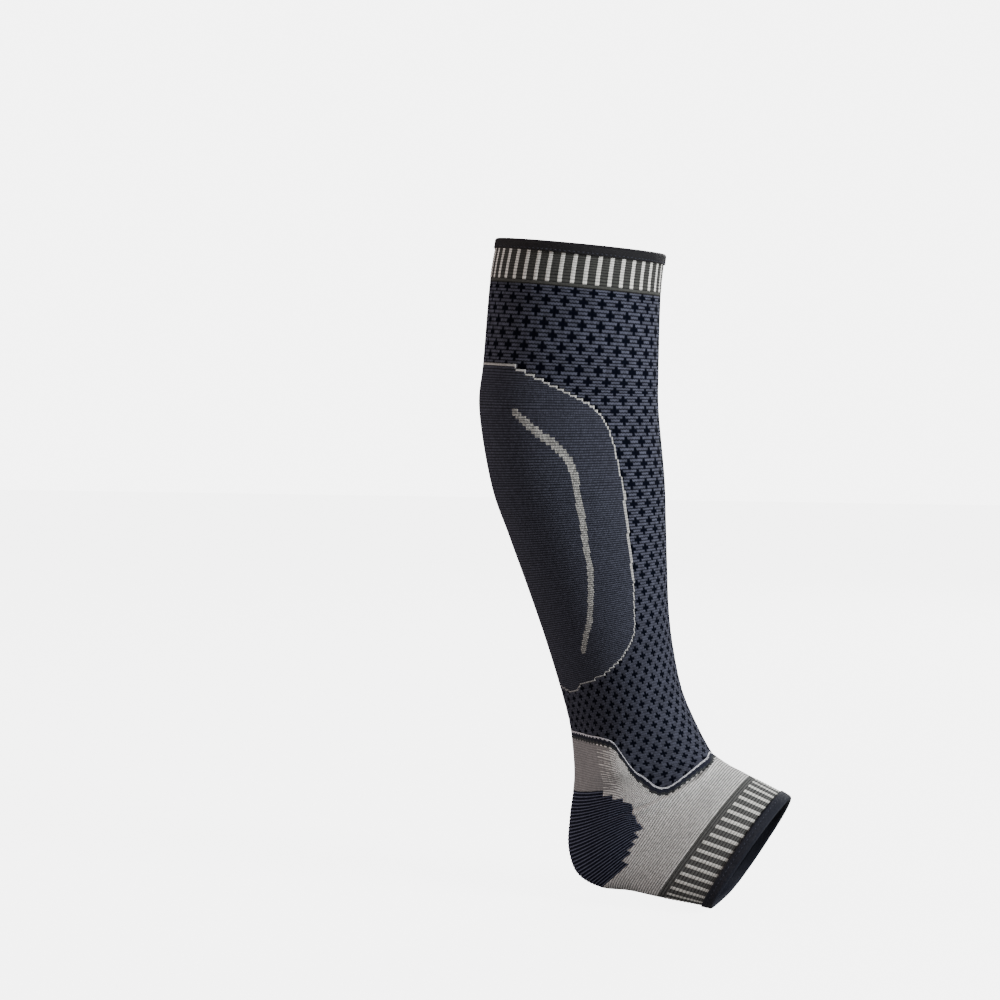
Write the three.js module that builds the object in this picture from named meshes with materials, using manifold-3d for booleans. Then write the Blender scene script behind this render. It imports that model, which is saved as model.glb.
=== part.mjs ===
// A knitted calf and ankle compression sleeve for the right leg, open at the toes, in the form that it has when worn.
// X points to the toes, Y to the inner side of the leg and Z up. The origin is the middle of the ankle.
// All lengths are in millimetres and all angles in degrees.
import * as THREE from "three";
import Module from "manifold-3d";

// Leg
const LEG_RISE = 350; // ankle's middle to the middle of the top edge
const CALF_DEPTH = 125; // shin to calf at the fullest course
const CALF_WIDTH = 120; // side to side at the fullest course
const CALF_SETBACK = 52; // how far the fullest course's middle lies behind the ankle's
const ANKLE_DEPTH = 84; // shin to heel tendon at the slimmest course
const ANKLE_WIDTH = 68; // side to side at the slimmest course

// Foot
const HEEL_DROP = 96; // ankle's middle to the sole under the heel
const HEEL_SETBACK = 53; // ankle's middle to the back of the heel
const HEEL_WIDTH = 70; // side to side through the heel
const INSTEP_REACH = 104; // ankle's middle to the front edge, along the instep
const INSTEP_DROP = 27; // ankle's middle down to the front edge at the instep
const SOLE_REACH = 56; // ankle's middle to the front edge, along the sole
const SOLE_DIP = 6; // how much lower the sole lies at the front edge than at the heel
const FOOT_WIDTH = 84; // side to side at the front edge

// Cloth
const KNIT_WALL = 1.5; // thickness of the knitted wall
const ZONE_GAP = 0.3; // clearance between neighbouring zones
const TAPE_WALL = 0.8; // thickness of one fold of the binding tape
const TAPE_GAP = 0.3; // clearance between the tape and the knit inside it
const TOP_TAPE_COVER = 6; // how far the top binding reaches down over the knit
const FOOT_TAPE_COVER = 5; // how far the foot binding reaches back over the knit
const TAPE_ROUNDING = { back: 0.75, depth: 0.35 }; // corner of the tape's fold, as shares of its height over the knit

// Knitted zones
const PANEL_TURN = 18; // how far the calf panel's middle is turned from the back towards the outer side
const PANEL_HALF_ANGLE = 118; // calf panel's side edge, from its middle
const HEEL_HALF_ANGLE = 90; // heel pocket's side corner, from the middle of the heel

// Facets
const AROUND = 40; // facets round the sleeve
const FACET_LENGTH = 18; // length of a facet along the sleeve

// Leg sections from the top edge down. up is a share of LEG_RISE, behind of CALF_SETBACK, and deep and wide go
// from 0 at the ankle's size to 1 at the calf's. taper narrows the shin side, and tilt lifts the shin side.
const LEG_SECTIONS = [
  { name: "top edge", up: 1.0, behind: 0.86, deep: 0.84, wide: 0.86, taper: 0.06, tilt: -6 },
  { name: "cuff end", up: 0.92, behind: 0.93, deep: 0.88, wide: 0.9, taper: 0.08, tilt: -5.5 },
  { name: "panel top", up: 0.765, behind: 0.98, deep: 0.94, wide: 0.97, taper: 0.12, tilt: -3.5 },
  { name: "calf", up: 0.677, behind: 1.0, deep: 1.0, wide: 1.0, taper: 0.14, tilt: -0.5 },
  { name: "under calf", up: 0.536, behind: 0.88, deep: 0.91, wide: 0.9, taper: 0.12, tilt: 2.5 },
  { name: "lower calf", up: 0.441, behind: 0.755, deep: 0.66, wide: 0.68, taper: 0.08, tilt: 5 },
  { name: "leg narrows", up: 0.342, behind: 0.617, deep: 0.38, wide: 0.4, taper: 0.0, tilt: 9 },
  { name: "lower leg", up: 0.25, behind: 0.49, deep: 0.15, wide: 0.17, taper: -0.08, tilt: 13 },
  { name: "above ankle", up: 0.167, behind: 0.363, deep: 0.03, wide: 0.03, taper: -0.14, tilt: 17 },
  { name: "slim ankle", up: 0.088, behind: 0.23, deep: 0.0, wide: 0.0, taper: -0.14, tilt: 16 },
];

// Foot sections from the ankle to the front edge. fore is a share of INSTEP_REACH and sink of INSTEP_DROP, for the
// instep's point. aft is a share of HEEL_SETBACK behind the ankle, or of SOLE_REACH in front of it, and drop of
// HEEL_DROP, for the heel's or sole's point. wide goes from 0 at HEEL_WIDTH to 1 at FOOT_WIDTH, and square from 0
// for a round sole to 1 for a flat one.
const FOOT_SECTIONS = [
  { name: "ankle", fore: 0.375, sink: -0.7, aft: -0.935, drop: 0.0, wide: 0.0, taper: -0.1, square: 0 },
  { name: "throat", fore: 0.47, sink: -0.06, aft: -0.91, drop: 0.18, wide: 0.05, taper: -0.06, square: 0 },
  { name: "heel top", fore: 0.51, sink: 0.08, aft: -0.92, drop: 0.31, wide: 0.05, taper: -0.05, square: 0 },
  { name: "heel back", fore: 0.545, sink: 0.16, aft: -0.97, drop: 0.52, wide: 0.05, taper: -0.05, square: 0 },
  { name: "heel ball", fore: 0.58, sink: 0.23, aft: -0.98, drop: 0.74, wide: 0.1, taper: -0.03, square: 0.15 },
  { name: "heel turn", fore: 0.61, sink: 0.29, aft: -0.84, drop: 0.92, wide: 0.2, taper: 0.0, square: 0.4 },
  { name: "heel end", fore: 0.645, sink: 0.35, aft: -0.5, drop: 1.0, wide: 0.35, taper: 0.03, square: 0.7 },
  { name: "arch", fore: 0.685, sink: 0.42, aft: -0.05, drop: 1.0, wide: 0.5, taper: 0.06, square: 0.9 },
  { name: "foot band", fore: 0.74, sink: 0.52, aft: 0.33, drop: 1.0, wide: 0.7, taper: 0.1, square: 1 },
  { name: "tape edge", fore: 0.945, sink: 0.88, aft: 0.88, drop: 1.0, wide: 0.95, taper: 0.14, square: 0.9 },
  { name: "front edge", fore: 1.0, sink: 1.0, aft: 1.0, drop: 1.0, wide: 1.0, taper: 0.15, square: 0.9 },
];

// Swellings and hollows of the leg under the knit, and the fold at the throat. place counts the sections from the
// top edge, angle is measured from the shin towards the inner side, along and around are the reach of each, and
// rise is its height in millimetres.
const FORMS = [
  { name: "inner calf muscle", place: 3.3, angle: 128, along: 1.7, around: 34, rise: 3.5 },
  { name: "outer calf muscle", place: 2.9, angle: 232, along: 1.5, around: 32, rise: 2.5 },
  { name: "inner ankle bone", place: 10.3, angle: 78, along: 1.0, around: 24, rise: 4.5 },
  { name: "outer ankle bone", place: 10.9, angle: 262, along: 1.0, around: 22, rise: 4.5 },
  { name: "inner tendon hollow", place: 9.9, angle: 140, along: 1.6, around: 22, rise: -3 },
  { name: "outer tendon hollow", place: 9.9, angle: 220, along: 1.6, around: 22, rise: -3 },
];

// The line where the leg's knit meets the ankle's, from the shin to the back of the ankle, the same on both sides.
const ANKLE_LINE = [
  { name: "shin", angle: 0, place: 11.0 },
  { name: "beside the shin", angle: 15, place: 11.4 },
  { name: "instep", angle: 31, place: 12.1 },
  { name: "tongue front", angle: 48, place: 12.9 },
  { name: "tongue tip", angle: 61, place: 13.3 },
  { name: "tongue back", angle: 69, place: 13.0 },
  { name: "under ankle bone", angle: 79, place: 11.8 },
  { name: "behind ankle bone", angle: 89, place: 10.4 },
  { name: "side step", angle: 96, place: 9.85 },
  { name: "tendon side", angle: 132, place: 9.5 },
  { name: "back", angle: 180, place: 9.25 },
];

// The calf panel's outline. turn is a share of PANEL_HALF_ANGLE, and top and bottom are places.
const PANEL_LINES = [
  { name: "middle", turn: 0, top: 2.0, bottom: 8.12 },
  { name: "lower point", turn: 0.28, top: 2.0, bottom: 8.33 },
  { name: "beside the point", turn: 0.42, top: 2.02, bottom: 8.17 },
  { name: "shoulder", turn: 0.6, top: 2.27, bottom: 8.13 },
  { name: "slope", turn: 0.77, top: 2.66, bottom: 7.9 },
  { name: "outer slope", turn: 0.88, top: 2.95, bottom: 7.6 },
  { name: "corner", turn: 0.96, top: 3.4, bottom: 7.15 },
  { name: "side edge", turn: 1, top: 4.2, bottom: 6.1 },
];

// The heel pocket's outline. turn is a share of HEEL_HALF_ANGLE, and top and bottom are places.
const HEEL_LINES = [
  { name: "middle", turn: 0, top: 11.8, bottom: 16.15 },
  { name: "back", turn: 0.4, top: 11.85, bottom: 16.05 },
  { name: "side", turn: 0.75, top: 12.3, bottom: 15.8 },
  { name: "side step", turn: 0.9, top: 13.0, bottom: 15.5 },
  { name: "corner", turn: 1, top: 13.4, bottom: 15.0 },
];

// Colours, as they look in soft light
const BINDING_BLACK = { color: "#15151b", roughness: 0.75 };
const CUFF_GREY = { color: "#6f706c", roughness: 0.9 };
const LEG_SLATE = { color: "#3a3c49", roughness: 0.9 };
const PANEL_NAVY = { color: "#2b3040", roughness: 0.9 };
const ANKLE_GREY = { color: "#a9a8a4", roughness: 0.9 };
const HEEL_NAVY = { color: "#1c2130", roughness: 0.9 };

const { degToRad, lerp, clamp, euclideanModulo } = THREE.MathUtils;

// One section as its points at the front and back, its half width and its shape.
function legSection(row) {
  const depth = lerp(ANKLE_DEPTH, CALF_DEPTH, row.deep);
  const middle = new THREE.Vector2(-row.behind * CALF_SETBACK, row.up * LEG_RISE);
  const half = new THREE.Vector2(Math.cos(degToRad(row.tilt)), Math.sin(degToRad(row.tilt))).multiplyScalar(depth / 2);
  return {
    front: middle.clone().add(half),
    back: middle.clone().sub(half),
    halfWidth: lerp(ANKLE_WIDTH, CALF_WIDTH, row.wide) / 2,
    taper: row.taper,
    square: 0,
  };
}

function footSection(row) {
  const forward = Math.max(0, row.aft);
  const reach = row.aft < 0 ? HEEL_SETBACK : SOLE_REACH;
  return {
    front: new THREE.Vector2(row.fore * INSTEP_REACH, -row.sink * INSTEP_DROP),
    back: new THREE.Vector2(row.aft * reach, -row.drop * HEEL_DROP - forward * SOLE_DIP),
    halfWidth: lerp(HEEL_WIDTH, FOOT_WIDTH, row.wide) / 2,
    taper: row.taper,
    square: row.square,
  };
}

const SECTIONS = [...LEG_SECTIONS.map(legSection), ...FOOT_SECTIONS.map(footSection)];
const NAMES = [...LEG_SECTIONS, ...FOOT_SECTIONS].map((row) => row.name);
const LAST = SECTIONS.length - 1;

// The place of a named section, counted from the top edge.
function station(name) {
  return NAMES.indexOf(name);
}

// A smooth curve from the second of four values to the third. The first or last is missing at an end of the sleeve,
// where the curve runs straight on.
function curveThrough([first, start, end, last], share) {
  const before = first ?? 2 * start - end;
  const after = last ?? 2 * end - start;
  const square = share * share;
  const cube = square * share;
  return (
    start * (2 * cube - 3 * square + 1) +
    ((end - before) / 2) * (cube - 2 * square + share) +
    end * (3 * square - 2 * cube) +
    ((after - start) / 2) * (cube - square)
  );
}

// The section at any place between the named ones.
function sectionAt(place) {
  const low = clamp(Math.floor(place), 0, LAST - 1);
  const near = [low - 1, low, low + 1, low + 2].map((i) => SECTIONS[i]);
  const mix = (read) => curveThrough(near.map((section) => section && read(section)), place - low);
  return {
    front: new THREE.Vector2(mix((s) => s.front.x), mix((s) => s.front.y)),
    back: new THREE.Vector2(mix((s) => s.back.x), mix((s) => s.back.y)),
    halfWidth: mix((s) => s.halfWidth),
    taper: mix((s) => s.taper),
    square: mix((s) => s.square),
  };
}

// How far the forms under the knit raise it.
function formRise(place, angle) {
  let rise = 0;
  for (const form of FORMS) {
    const along = (place - form.place) / form.along;
    const around = (euclideanModulo(angle - form.angle + 180, 360) - 180) / form.around;
    rise += form.rise * Math.exp(-along * along - around * around);
  }
  return rise;
}

// A sine or cosine raised to a power with its sign kept.
function signedPower(value, power) {
  return Math.sign(value) * Math.abs(value) ** power;
}

// The sleeve's outer face at a place and an angle from the shin towards the inner side. A section is an ellipse
// whose sole side is squared off where its square is above 0.
function outerFace(place, angle) {
  const section = sectionAt(place);
  const turn = degToRad(angle);
  const middle = section.front.clone().add(section.back).multiplyScalar(0.5);
  const half = section.front.clone().sub(section.back).multiplyScalar(0.5);
  const soleSide = (1 - Math.cos(turn)) / 2;
  const power = 1 - (section.square * soleSide) / 2;
  const along = signedPower(Math.cos(turn), power);
  const across = signedPower(Math.sin(turn), power) * (1 - section.taper * along);
  const radial = new THREE.Vector3(half.x * along, section.halfWidth * across, half.y * along);
  radial.setLength(radial.length() + formRise(place, angle));
  return new THREE.Vector3(middle.x, 0, middle.y).add(radial);
}

const PLACE_STEP = 0.02; // for slopes along the sleeve, in sections
const ANGLE_STEP = 0.5; // for slopes round it, in degrees

// The face's slopes along and round the sleeve, in millimetres for each section and each degree, and its normal.
function faceSlopes(place, angle) {
  const low = clamp(place - PLACE_STEP, 0, LAST);
  const high = clamp(place + PLACE_STEP, 0, LAST);
  const along = outerFace(high, angle).sub(outerFace(low, angle)).divideScalar(high - low);
  const around = outerFace(place, angle + ANGLE_STEP).sub(outerFace(place, angle - ANGLE_STEP));
  around.divideScalar(2 * ANGLE_STEP);
  return { along, around, normal: along.clone().cross(around).normalize() };
}

// A point of the cloth, depth millimetres under the outer face, or over it if negative. A place past either end
// runs straight on.
function clothPoint({ place, angle }, depth) {
  const inside = clamp(place, 0, LAST);
  const { along, normal } = faceSlopes(inside, angle);
  return outerFace(inside, angle)
    .addScaledVector(along, place - inside)
    .addScaledVector(normal, -depth);
}

// Reads one column of a table of lines at any angle, as a smooth curve through its rows. Each table starts at the
// middle that its line is mirrored about, so the curve runs square across that middle.
function readTable(rows, key, column, value) {
  let low = 0;
  while (low < rows.length - 2 && rows[low + 1][key] < value) low += 1;
  const [from, to] = [rows[low], rows[low + 1]];
  const share = clamp((value - from[key]) / (to[key] - from[key]), 0, 1);
  const slopeAt = (i) => {
    if (i === 0) return 0;
    const [before, after] = [rows[i - 1], rows[Math.min(rows.length - 1, i + 1)]];
    return (after[column] - before[column]) / (after[key] - before[key]);
  };
  const width = to[key] - from[key];
  const [square, cube] = [share * share, share * share * share];
  return (
    from[column] * (2 * cube - 3 * square + 1) +
    slopeAt(low) * width * (cube - 2 * square + share) +
    to[column] * (3 * square - 2 * cube) +
    slopeAt(low + 1) * width * (cube - square)
  );
}

// A line round the sleeve at one place, or at the place that a function gives for each angle.
function lineRound(placeAt) {
  return Array.from({ length: AROUND }, (_, i) => {
    const angle = (i * 360) / AROUND;
    return { place: placeAt(angle), angle };
  });
}

function ankleLine(angle) {
  const fromShin = Math.abs(euclideanModulo(angle + 180, 360) - 180);
  return readTable(ANKLE_LINE, "angle", "place", fromShin);
}

// Moves a closed line sideways by a distance in millimetres. A line round the sleeve moves towards the toes, and
// an outline moves outwards.
function shiftLine(line, distance) {
  return line.map((point, i) => {
    const before = line[(i + line.length - 1) % line.length];
    const after = line[(i + 1) % line.length];
    const { along, around } = faceSlopes(point.place, point.angle);
    const turn = euclideanModulo(after.angle - before.angle + 180, 360) - 180;
    const across = turn * around.length();
    const down = (after.place - before.place) * along.length();
    const length = Math.hypot(across, down);
    return {
      place: point.place + ((across / length) * distance) / along.length(),
      angle: point.angle - ((down / length) * distance) / around.length(),
    };
  });
}

// A closed mesh from a grid of points on the outer face and its twin on the inner face. The columns close into a
// ring, or else end in side walls.
function wallGeometry(outer, inner, ring) {
  const [rows, columns] = [outer.length, outer[0].length];
  const positions = [...outer, ...inner].flat().flatMap((point) => point.toArray());
  const index = [];
  const at = (layer, row, column) => (layer * rows + row) * columns + (column % columns);
  const quad = (a, b, c, d) => index.push(a, b, c, a, c, d);
  const spans = ring ? columns : columns - 1;
  for (let column = 0; column < spans; column += 1) {
    const next = column + 1;
    for (let row = 0; row < rows - 1; row += 1) {
      quad(at(0, row, column), at(0, row + 1, column), at(0, row + 1, next), at(0, row, next));
      quad(at(1, row, column), at(1, row, next), at(1, row + 1, next), at(1, row + 1, column));
    }
    quad(at(0, 0, column), at(0, 0, next), at(1, 0, next), at(1, 0, column));
    quad(at(0, rows - 1, column), at(1, rows - 1, column), at(1, rows - 1, next), at(0, rows - 1, next));
  }
  for (let row = 0; row < rows - 1 && !ring; row += 1) {
    const last = columns - 1;
    quad(at(0, row, 0), at(1, row, 0), at(1, row + 1, 0), at(0, row + 1, 0));
    quad(at(0, row, last), at(0, row + 1, last), at(1, row + 1, last), at(1, row, last));
  }
  const geometry = new THREE.BufferGeometry();
  geometry.setAttribute("position", new THREE.Float32BufferAttribute(positions, 3));
  geometry.setIndex(index);
  return geometry;
}

// The length of the outer face from one point to another further down the sleeve.
function clothLength(from, to) {
  const steps = Math.ceil(to.place - from.place);
  let length = 0;
  for (let step = 0; step < steps; step += 1) {
    const share = (step + 0.5) / steps;
    const { along } = faceSlopes(lerp(from.place, to.place, share), lerp(from.angle, to.angle, share));
    length += (along.length() * (to.place - from.place)) / steps;
  }
  return length;
}

// Cloth between two lines with the same number of points, from one depth under the outer face to another.
function clothBetween(top, bottom, { ring, from = 0, to = KNIT_WALL }) {
  const longest = Math.max(...top.map((point, i) => clothLength(point, bottom[i])));
  const rows = Math.ceil(longest / FACET_LENGTH);
  const grid = Array.from({ length: rows + 1 }, (_, row) =>
    top.map((point, i) => ({
      place: lerp(point.place, bottom[i].place, row / rows),
      angle: lerp(point.angle, bottom[i].angle, row / rows),
    })),
  );
  const layer = (depth) => grid.map((line) => line.map((point) => clothPoint(point, depth)));
  return wallGeometry(layer(from), layer(to), ring);
}

// A knitted ring between two lines, with half the clearance kept to the zone past each.
function knitRing(top, bottom, { openTop = false, openBottom = false } = {}) {
  const upper = openTop ? top : shiftLine(top, ZONE_GAP / 2);
  const lower = openBottom ? bottom : shiftLine(bottom, -ZONE_GAP / 2);
  return clothBetween(upper, lower, { ring: true });
}

// A solid that stands a wall's thickness past both faces of the cloth, with an outline that is a table mirrored
// about its middle and grown outwards by a distance.
function patchCutter(rows, { middle, halfAngle }, grow) {
  const columns = 2 * Math.round((halfAngle / 360) * AROUND);
  const turns = Array.from({ length: columns + 1 }, (_, i) => lerp(-1, 1, i / columns));
  const line = (column) =>
    turns.map((turn) => ({
      place: readTable(rows, "turn", column, Math.abs(turn)),
      angle: middle + turn * halfAngle,
    }));
  const grown = shiftLine([...line("top"), ...line("bottom").reverse()], -grow);
  const [top, bottom] = [grown.slice(0, turns.length), grown.slice(turns.length).reverse()];
  return solidOf(clothBetween(top, bottom, { ring: false, from: -KNIT_WALL, to: 2 * KNIT_WALL }));
}

const wasm = await Module();
wasm.setup();

function solidOf(geometry) {
  const mesh = new wasm.Mesh({
    numProp: 3,
    vertProperties: geometry.getAttribute("position").array,
    triVerts: new Uint32Array(geometry.getIndex().array),
  });
  return new wasm.Manifold(mesh);
}

function geometryOf(solid) {
  const mesh = solid.getMesh();
  const geometry = new THREE.BufferGeometry();
  geometry.setAttribute("position", new THREE.Float32BufferAttribute(mesh.vertProperties, 3));
  geometry.setIndex(new THREE.Uint32BufferAttribute(mesh.triVerts, 1));
  return geometry;
}

// Cuts a patch out of a ring of knit, with the clearance between them, and gives both.
function splitRing(ring, rows, shape) {
  const solid = solidOf(ring);
  return {
    rest: geometryOf(solid.subtract(patchCutter(rows, shape, ZONE_GAP / 2))),
    patch: geometryOf(solid.intersect(patchCutter(rows, shape, -ZONE_GAP / 2))),
  };
}

// A tape folded over an open edge of the knit, as a ring with a section like a U.
function foldedTape(edgePlace, inward, cover) {
  const over = TAPE_GAP + TAPE_WALL;
  const under = KNIT_WALL + over;
  const section = [
    { back: cover, depth: -TAPE_GAP },
    { back: cover, depth: -over },
    { back: 0, depth: -over },
    { back: -TAPE_ROUNDING.back * over, depth: -TAPE_ROUNDING.depth * over },
    { back: -over, depth: KNIT_WALL / 2 },
    { back: -TAPE_ROUNDING.back * over, depth: KNIT_WALL + TAPE_ROUNDING.depth * over },
    { back: 0, depth: under },
    { back: cover, depth: under },
    { back: cover, depth: KNIT_WALL + TAPE_GAP },
    { back: -TAPE_GAP, depth: KNIT_WALL + TAPE_GAP },
    { back: -TAPE_GAP, depth: -TAPE_GAP },
  ];
  const positions = [];
  const index = [];
  for (let i = 0; i < AROUND; i += 1) {
    const angle = (i * 360) / AROUND;
    const stretch = faceSlopes(edgePlace, angle).along.length();
    for (const { back, depth } of section) {
      const place = edgePlace + (inward * back) / stretch;
      positions.push(...clothPoint({ place, angle }, depth).toArray());
    }
  }
  const at = (turn, point) => (turn % AROUND) * section.length + (point % section.length);
  for (let turn = 0; turn < AROUND; turn += 1) {
    for (let point = 0; point < section.length; point += 1) {
      const corners = [at(turn, point), at(turn + 1, point), at(turn + 1, point + 1), at(turn, point + 1)];
      const [a, b, c, d] = inward > 0 ? corners : corners.reverse();
      index.push(a, b, c, a, c, d);
    }
  }
  const geometry = new THREE.BufferGeometry();
  geometry.setAttribute("position", new THREE.Float32BufferAttribute(positions, 3));
  geometry.setIndex(index);
  return geometry;
}

const topEdge = lineRound(() => station("top edge"));
const cuffEnd = lineRound(() => station("cuff end"));
const ankleTop = lineRound(ankleLine);
const footBandStart = lineRound(() => station("foot band"));
const frontEdge = lineRound(() => station("front edge"));

const panelShape = { middle: 180 + PANEL_TURN, halfAngle: PANEL_HALF_ANGLE };
const heelShape = { middle: 180, halfAngle: HEEL_HALF_ANGLE };

const sleeve = new THREE.Group();

function addPiece(name, geometry, finish) {
  geometry.computeVertexNormals();
  const mesh = new THREE.Mesh(geometry, new THREE.MeshStandardMaterial({ ...finish, metalness: 0 }));
  mesh.name = name;
  sleeve.add(mesh);
}

const leg = splitRing(knitRing(cuffEnd, ankleTop), PANEL_LINES, panelShape);
const ankle = splitRing(knitRing(ankleTop, footBandStart), HEEL_LINES, heelShape);

addPiece("top_binding", foldedTape(station("top edge"), 1, TOP_TAPE_COVER), BINDING_BLACK);
addPiece("cuff_band", knitRing(topEdge, cuffEnd, { openTop: true }), CUFF_GREY);
addPiece("leg_knit", leg.rest, LEG_SLATE);
addPiece("calf_panel", leg.patch, PANEL_NAVY);
addPiece("ankle_knit", ankle.rest, ANKLE_GREY);
addPiece("heel_pocket", ankle.patch, HEEL_NAVY);
addPiece("foot_band", knitRing(footBandStart, frontEdge, { openBottom: true }), CUFF_GREY);
addPiece("foot_binding", foldedTape(station("front edge"), -1, FOOT_TAPE_COVER), BINDING_BLACK);

export default sleeve;
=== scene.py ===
"""A knitted calf and ankle compression sleeve for the right leg, in the form that it has when worn.

It is open at the toes. X points to the toes, Y to the inner side of the leg and Z up, and the origin is
the middle of the ankle. The sleeve's form is worked out in millimetres and degrees, and every finished
mesh is in metres.
"""

from __future__ import annotations

import logging
import math
from collections.abc import Sequence
from dataclasses import dataclass, field
from enum import IntEnum
from functools import cached_property

import bmesh
import bpy
import numpy as np
from mathutils import Matrix, Vector

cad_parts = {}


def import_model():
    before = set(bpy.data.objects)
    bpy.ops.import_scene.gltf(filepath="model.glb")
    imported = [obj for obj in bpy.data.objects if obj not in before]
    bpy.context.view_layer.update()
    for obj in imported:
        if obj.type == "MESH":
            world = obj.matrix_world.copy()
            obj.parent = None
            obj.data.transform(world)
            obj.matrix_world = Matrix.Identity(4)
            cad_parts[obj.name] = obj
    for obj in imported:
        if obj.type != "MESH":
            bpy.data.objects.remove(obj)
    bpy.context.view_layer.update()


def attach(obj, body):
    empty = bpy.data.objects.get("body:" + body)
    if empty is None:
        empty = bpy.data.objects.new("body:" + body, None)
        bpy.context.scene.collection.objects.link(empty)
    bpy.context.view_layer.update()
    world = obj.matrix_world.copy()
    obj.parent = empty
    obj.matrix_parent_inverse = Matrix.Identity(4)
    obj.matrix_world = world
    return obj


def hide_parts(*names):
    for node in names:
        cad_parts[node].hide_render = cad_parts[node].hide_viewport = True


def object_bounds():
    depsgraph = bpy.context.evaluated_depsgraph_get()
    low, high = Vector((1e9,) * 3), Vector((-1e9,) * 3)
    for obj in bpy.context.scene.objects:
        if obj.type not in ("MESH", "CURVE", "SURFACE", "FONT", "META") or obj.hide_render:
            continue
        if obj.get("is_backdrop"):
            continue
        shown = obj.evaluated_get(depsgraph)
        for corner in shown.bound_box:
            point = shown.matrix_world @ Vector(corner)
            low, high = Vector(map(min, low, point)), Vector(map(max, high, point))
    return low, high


Array = np.ndarray

MM = 0.001
FULL_TURN = 360.0
HALF_TURN = 180.0
MERGE_DISTANCE = 1e-6
KNIT_UV = "knit"

log = logging.getLogger("sleeve")


# The form of the sleeve


@dataclass(frozen=True)
class LegSection:
    """A section of the leg.

    up is a share of the leg's rise and behind of the calf's setback. deep and wide go from 0 at the
    ankle's size to 1 at the calf's. taper narrows the shin side, and tilt, in degrees, lifts it.
    """

    name: str
    up: float
    behind: float
    deep: float
    wide: float
    taper: float
    tilt: float


@dataclass(frozen=True)
class FootSection:
    """A section of the foot.

    fore is a share of the instep's reach and sink of its drop, for the instep's point. aft is a share of
    the heel's setback behind the ankle, or of the sole's reach in front of it, and drop of the heel's
    drop, for the heel's or sole's point. wide goes from 0 at the heel's width to 1 at the foot's. taper
    narrows the instep side, and square goes from 0 for a round sole to 1 for a flat one.
    """

    name: str
    fore: float
    sink: float
    aft: float
    drop: float
    wide: float
    taper: float
    square: float


@dataclass(frozen=True)
class Form:
    """A swelling or hollow of the leg under the knit.

    place counts the sections from the top edge, and angle turns from the shin towards the inner side.
    along and around are the form's reach in places and degrees, and rise is its height in millimetres.
    """

    name: str
    place: float
    angle: float
    along: float
    around: float
    rise: float


LEG_SECTIONS = (
    LegSection("top edge", up=1.0, behind=0.86, deep=0.84, wide=0.86, taper=0.06, tilt=-6),
    LegSection("cuff end", up=0.92, behind=0.93, deep=0.88, wide=0.9, taper=0.08, tilt=-5.5),
    LegSection("panel top", up=0.765, behind=0.98, deep=0.94, wide=0.97, taper=0.12, tilt=-3.5),
    LegSection("calf", up=0.677, behind=1.0, deep=1.0, wide=1.0, taper=0.14, tilt=-0.5),
    LegSection("under calf", up=0.536, behind=0.88, deep=0.91, wide=0.9, taper=0.12, tilt=2.5),
    LegSection("lower calf", up=0.441, behind=0.755, deep=0.66, wide=0.68, taper=0.08, tilt=5),
    LegSection("leg narrows", up=0.342, behind=0.617, deep=0.38, wide=0.4, taper=0.0, tilt=9),
    LegSection("lower leg", up=0.25, behind=0.49, deep=0.15, wide=0.17, taper=-0.08, tilt=13),
    LegSection("above ankle", up=0.167, behind=0.363, deep=0.03, wide=0.03, taper=-0.14, tilt=17),
    LegSection("slim ankle", up=0.088, behind=0.23, deep=0.0, wide=0.0, taper=-0.14, tilt=16),
)

FOOT_SECTIONS = (
    FootSection("ankle", fore=0.375, sink=-0.7, aft=-0.935, drop=0.0, wide=0.0, taper=-0.1, square=0),
    FootSection("throat", fore=0.47, sink=-0.06, aft=-0.91, drop=0.18, wide=0.05, taper=-0.06, square=0),
    FootSection("heel top", fore=0.51, sink=0.08, aft=-0.92, drop=0.31, wide=0.05, taper=-0.05, square=0),
    FootSection("heel back", fore=0.545, sink=0.16, aft=-0.97, drop=0.52, wide=0.05, taper=-0.05, square=0),
    FootSection("heel ball", fore=0.58, sink=0.23, aft=-0.98, drop=0.74, wide=0.1, taper=-0.03, square=0.15),
    FootSection("heel turn", fore=0.61, sink=0.29, aft=-0.84, drop=0.92, wide=0.2, taper=0.0, square=0.4),
    FootSection("heel end", fore=0.645, sink=0.35, aft=-0.5, drop=1.0, wide=0.35, taper=0.03, square=0.7),
    FootSection("arch", fore=0.685, sink=0.42, aft=-0.05, drop=1.0, wide=0.5, taper=0.06, square=0.9),
    FootSection("foot band", fore=0.74, sink=0.52, aft=0.33, drop=1.0, wide=0.7, taper=0.1, square=1),
    FootSection("tape edge", fore=0.945, sink=0.88, aft=0.88, drop=1.0, wide=0.95, taper=0.14, square=0.9),
    FootSection("front edge", fore=1.0, sink=1.0, aft=1.0, drop=1.0, wide=1.0, taper=0.15, square=0.9),
)

FORMS = (
    Form("inner calf muscle", place=3.3, angle=128, along=1.7, around=34, rise=3.5),
    Form("outer calf muscle", place=2.9, angle=232, along=1.5, around=32, rise=2.5),
    Form("inner ankle bone", place=10.3, angle=78, along=1.0, around=24, rise=4.5),
    Form("outer ankle bone", place=10.9, angle=262, along=1.0, around=22, rise=4.5),
    Form("inner tendon hollow", place=9.9, angle=140, along=1.6, around=22, rise=-3),
    Form("outer tendon hollow", place=9.9, angle=220, along=1.6, around=22, rise=-3),
)

SECTION_NAMES = [row.name for row in (*LEG_SECTIONS, *FOOT_SECTIONS)]
LAST_PLACE = len(SECTION_NAMES) - 1


def station(name: str) -> int:
    """Gives the place of a named section, counted from the top edge."""
    return SECTION_NAMES.index(name)


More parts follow.
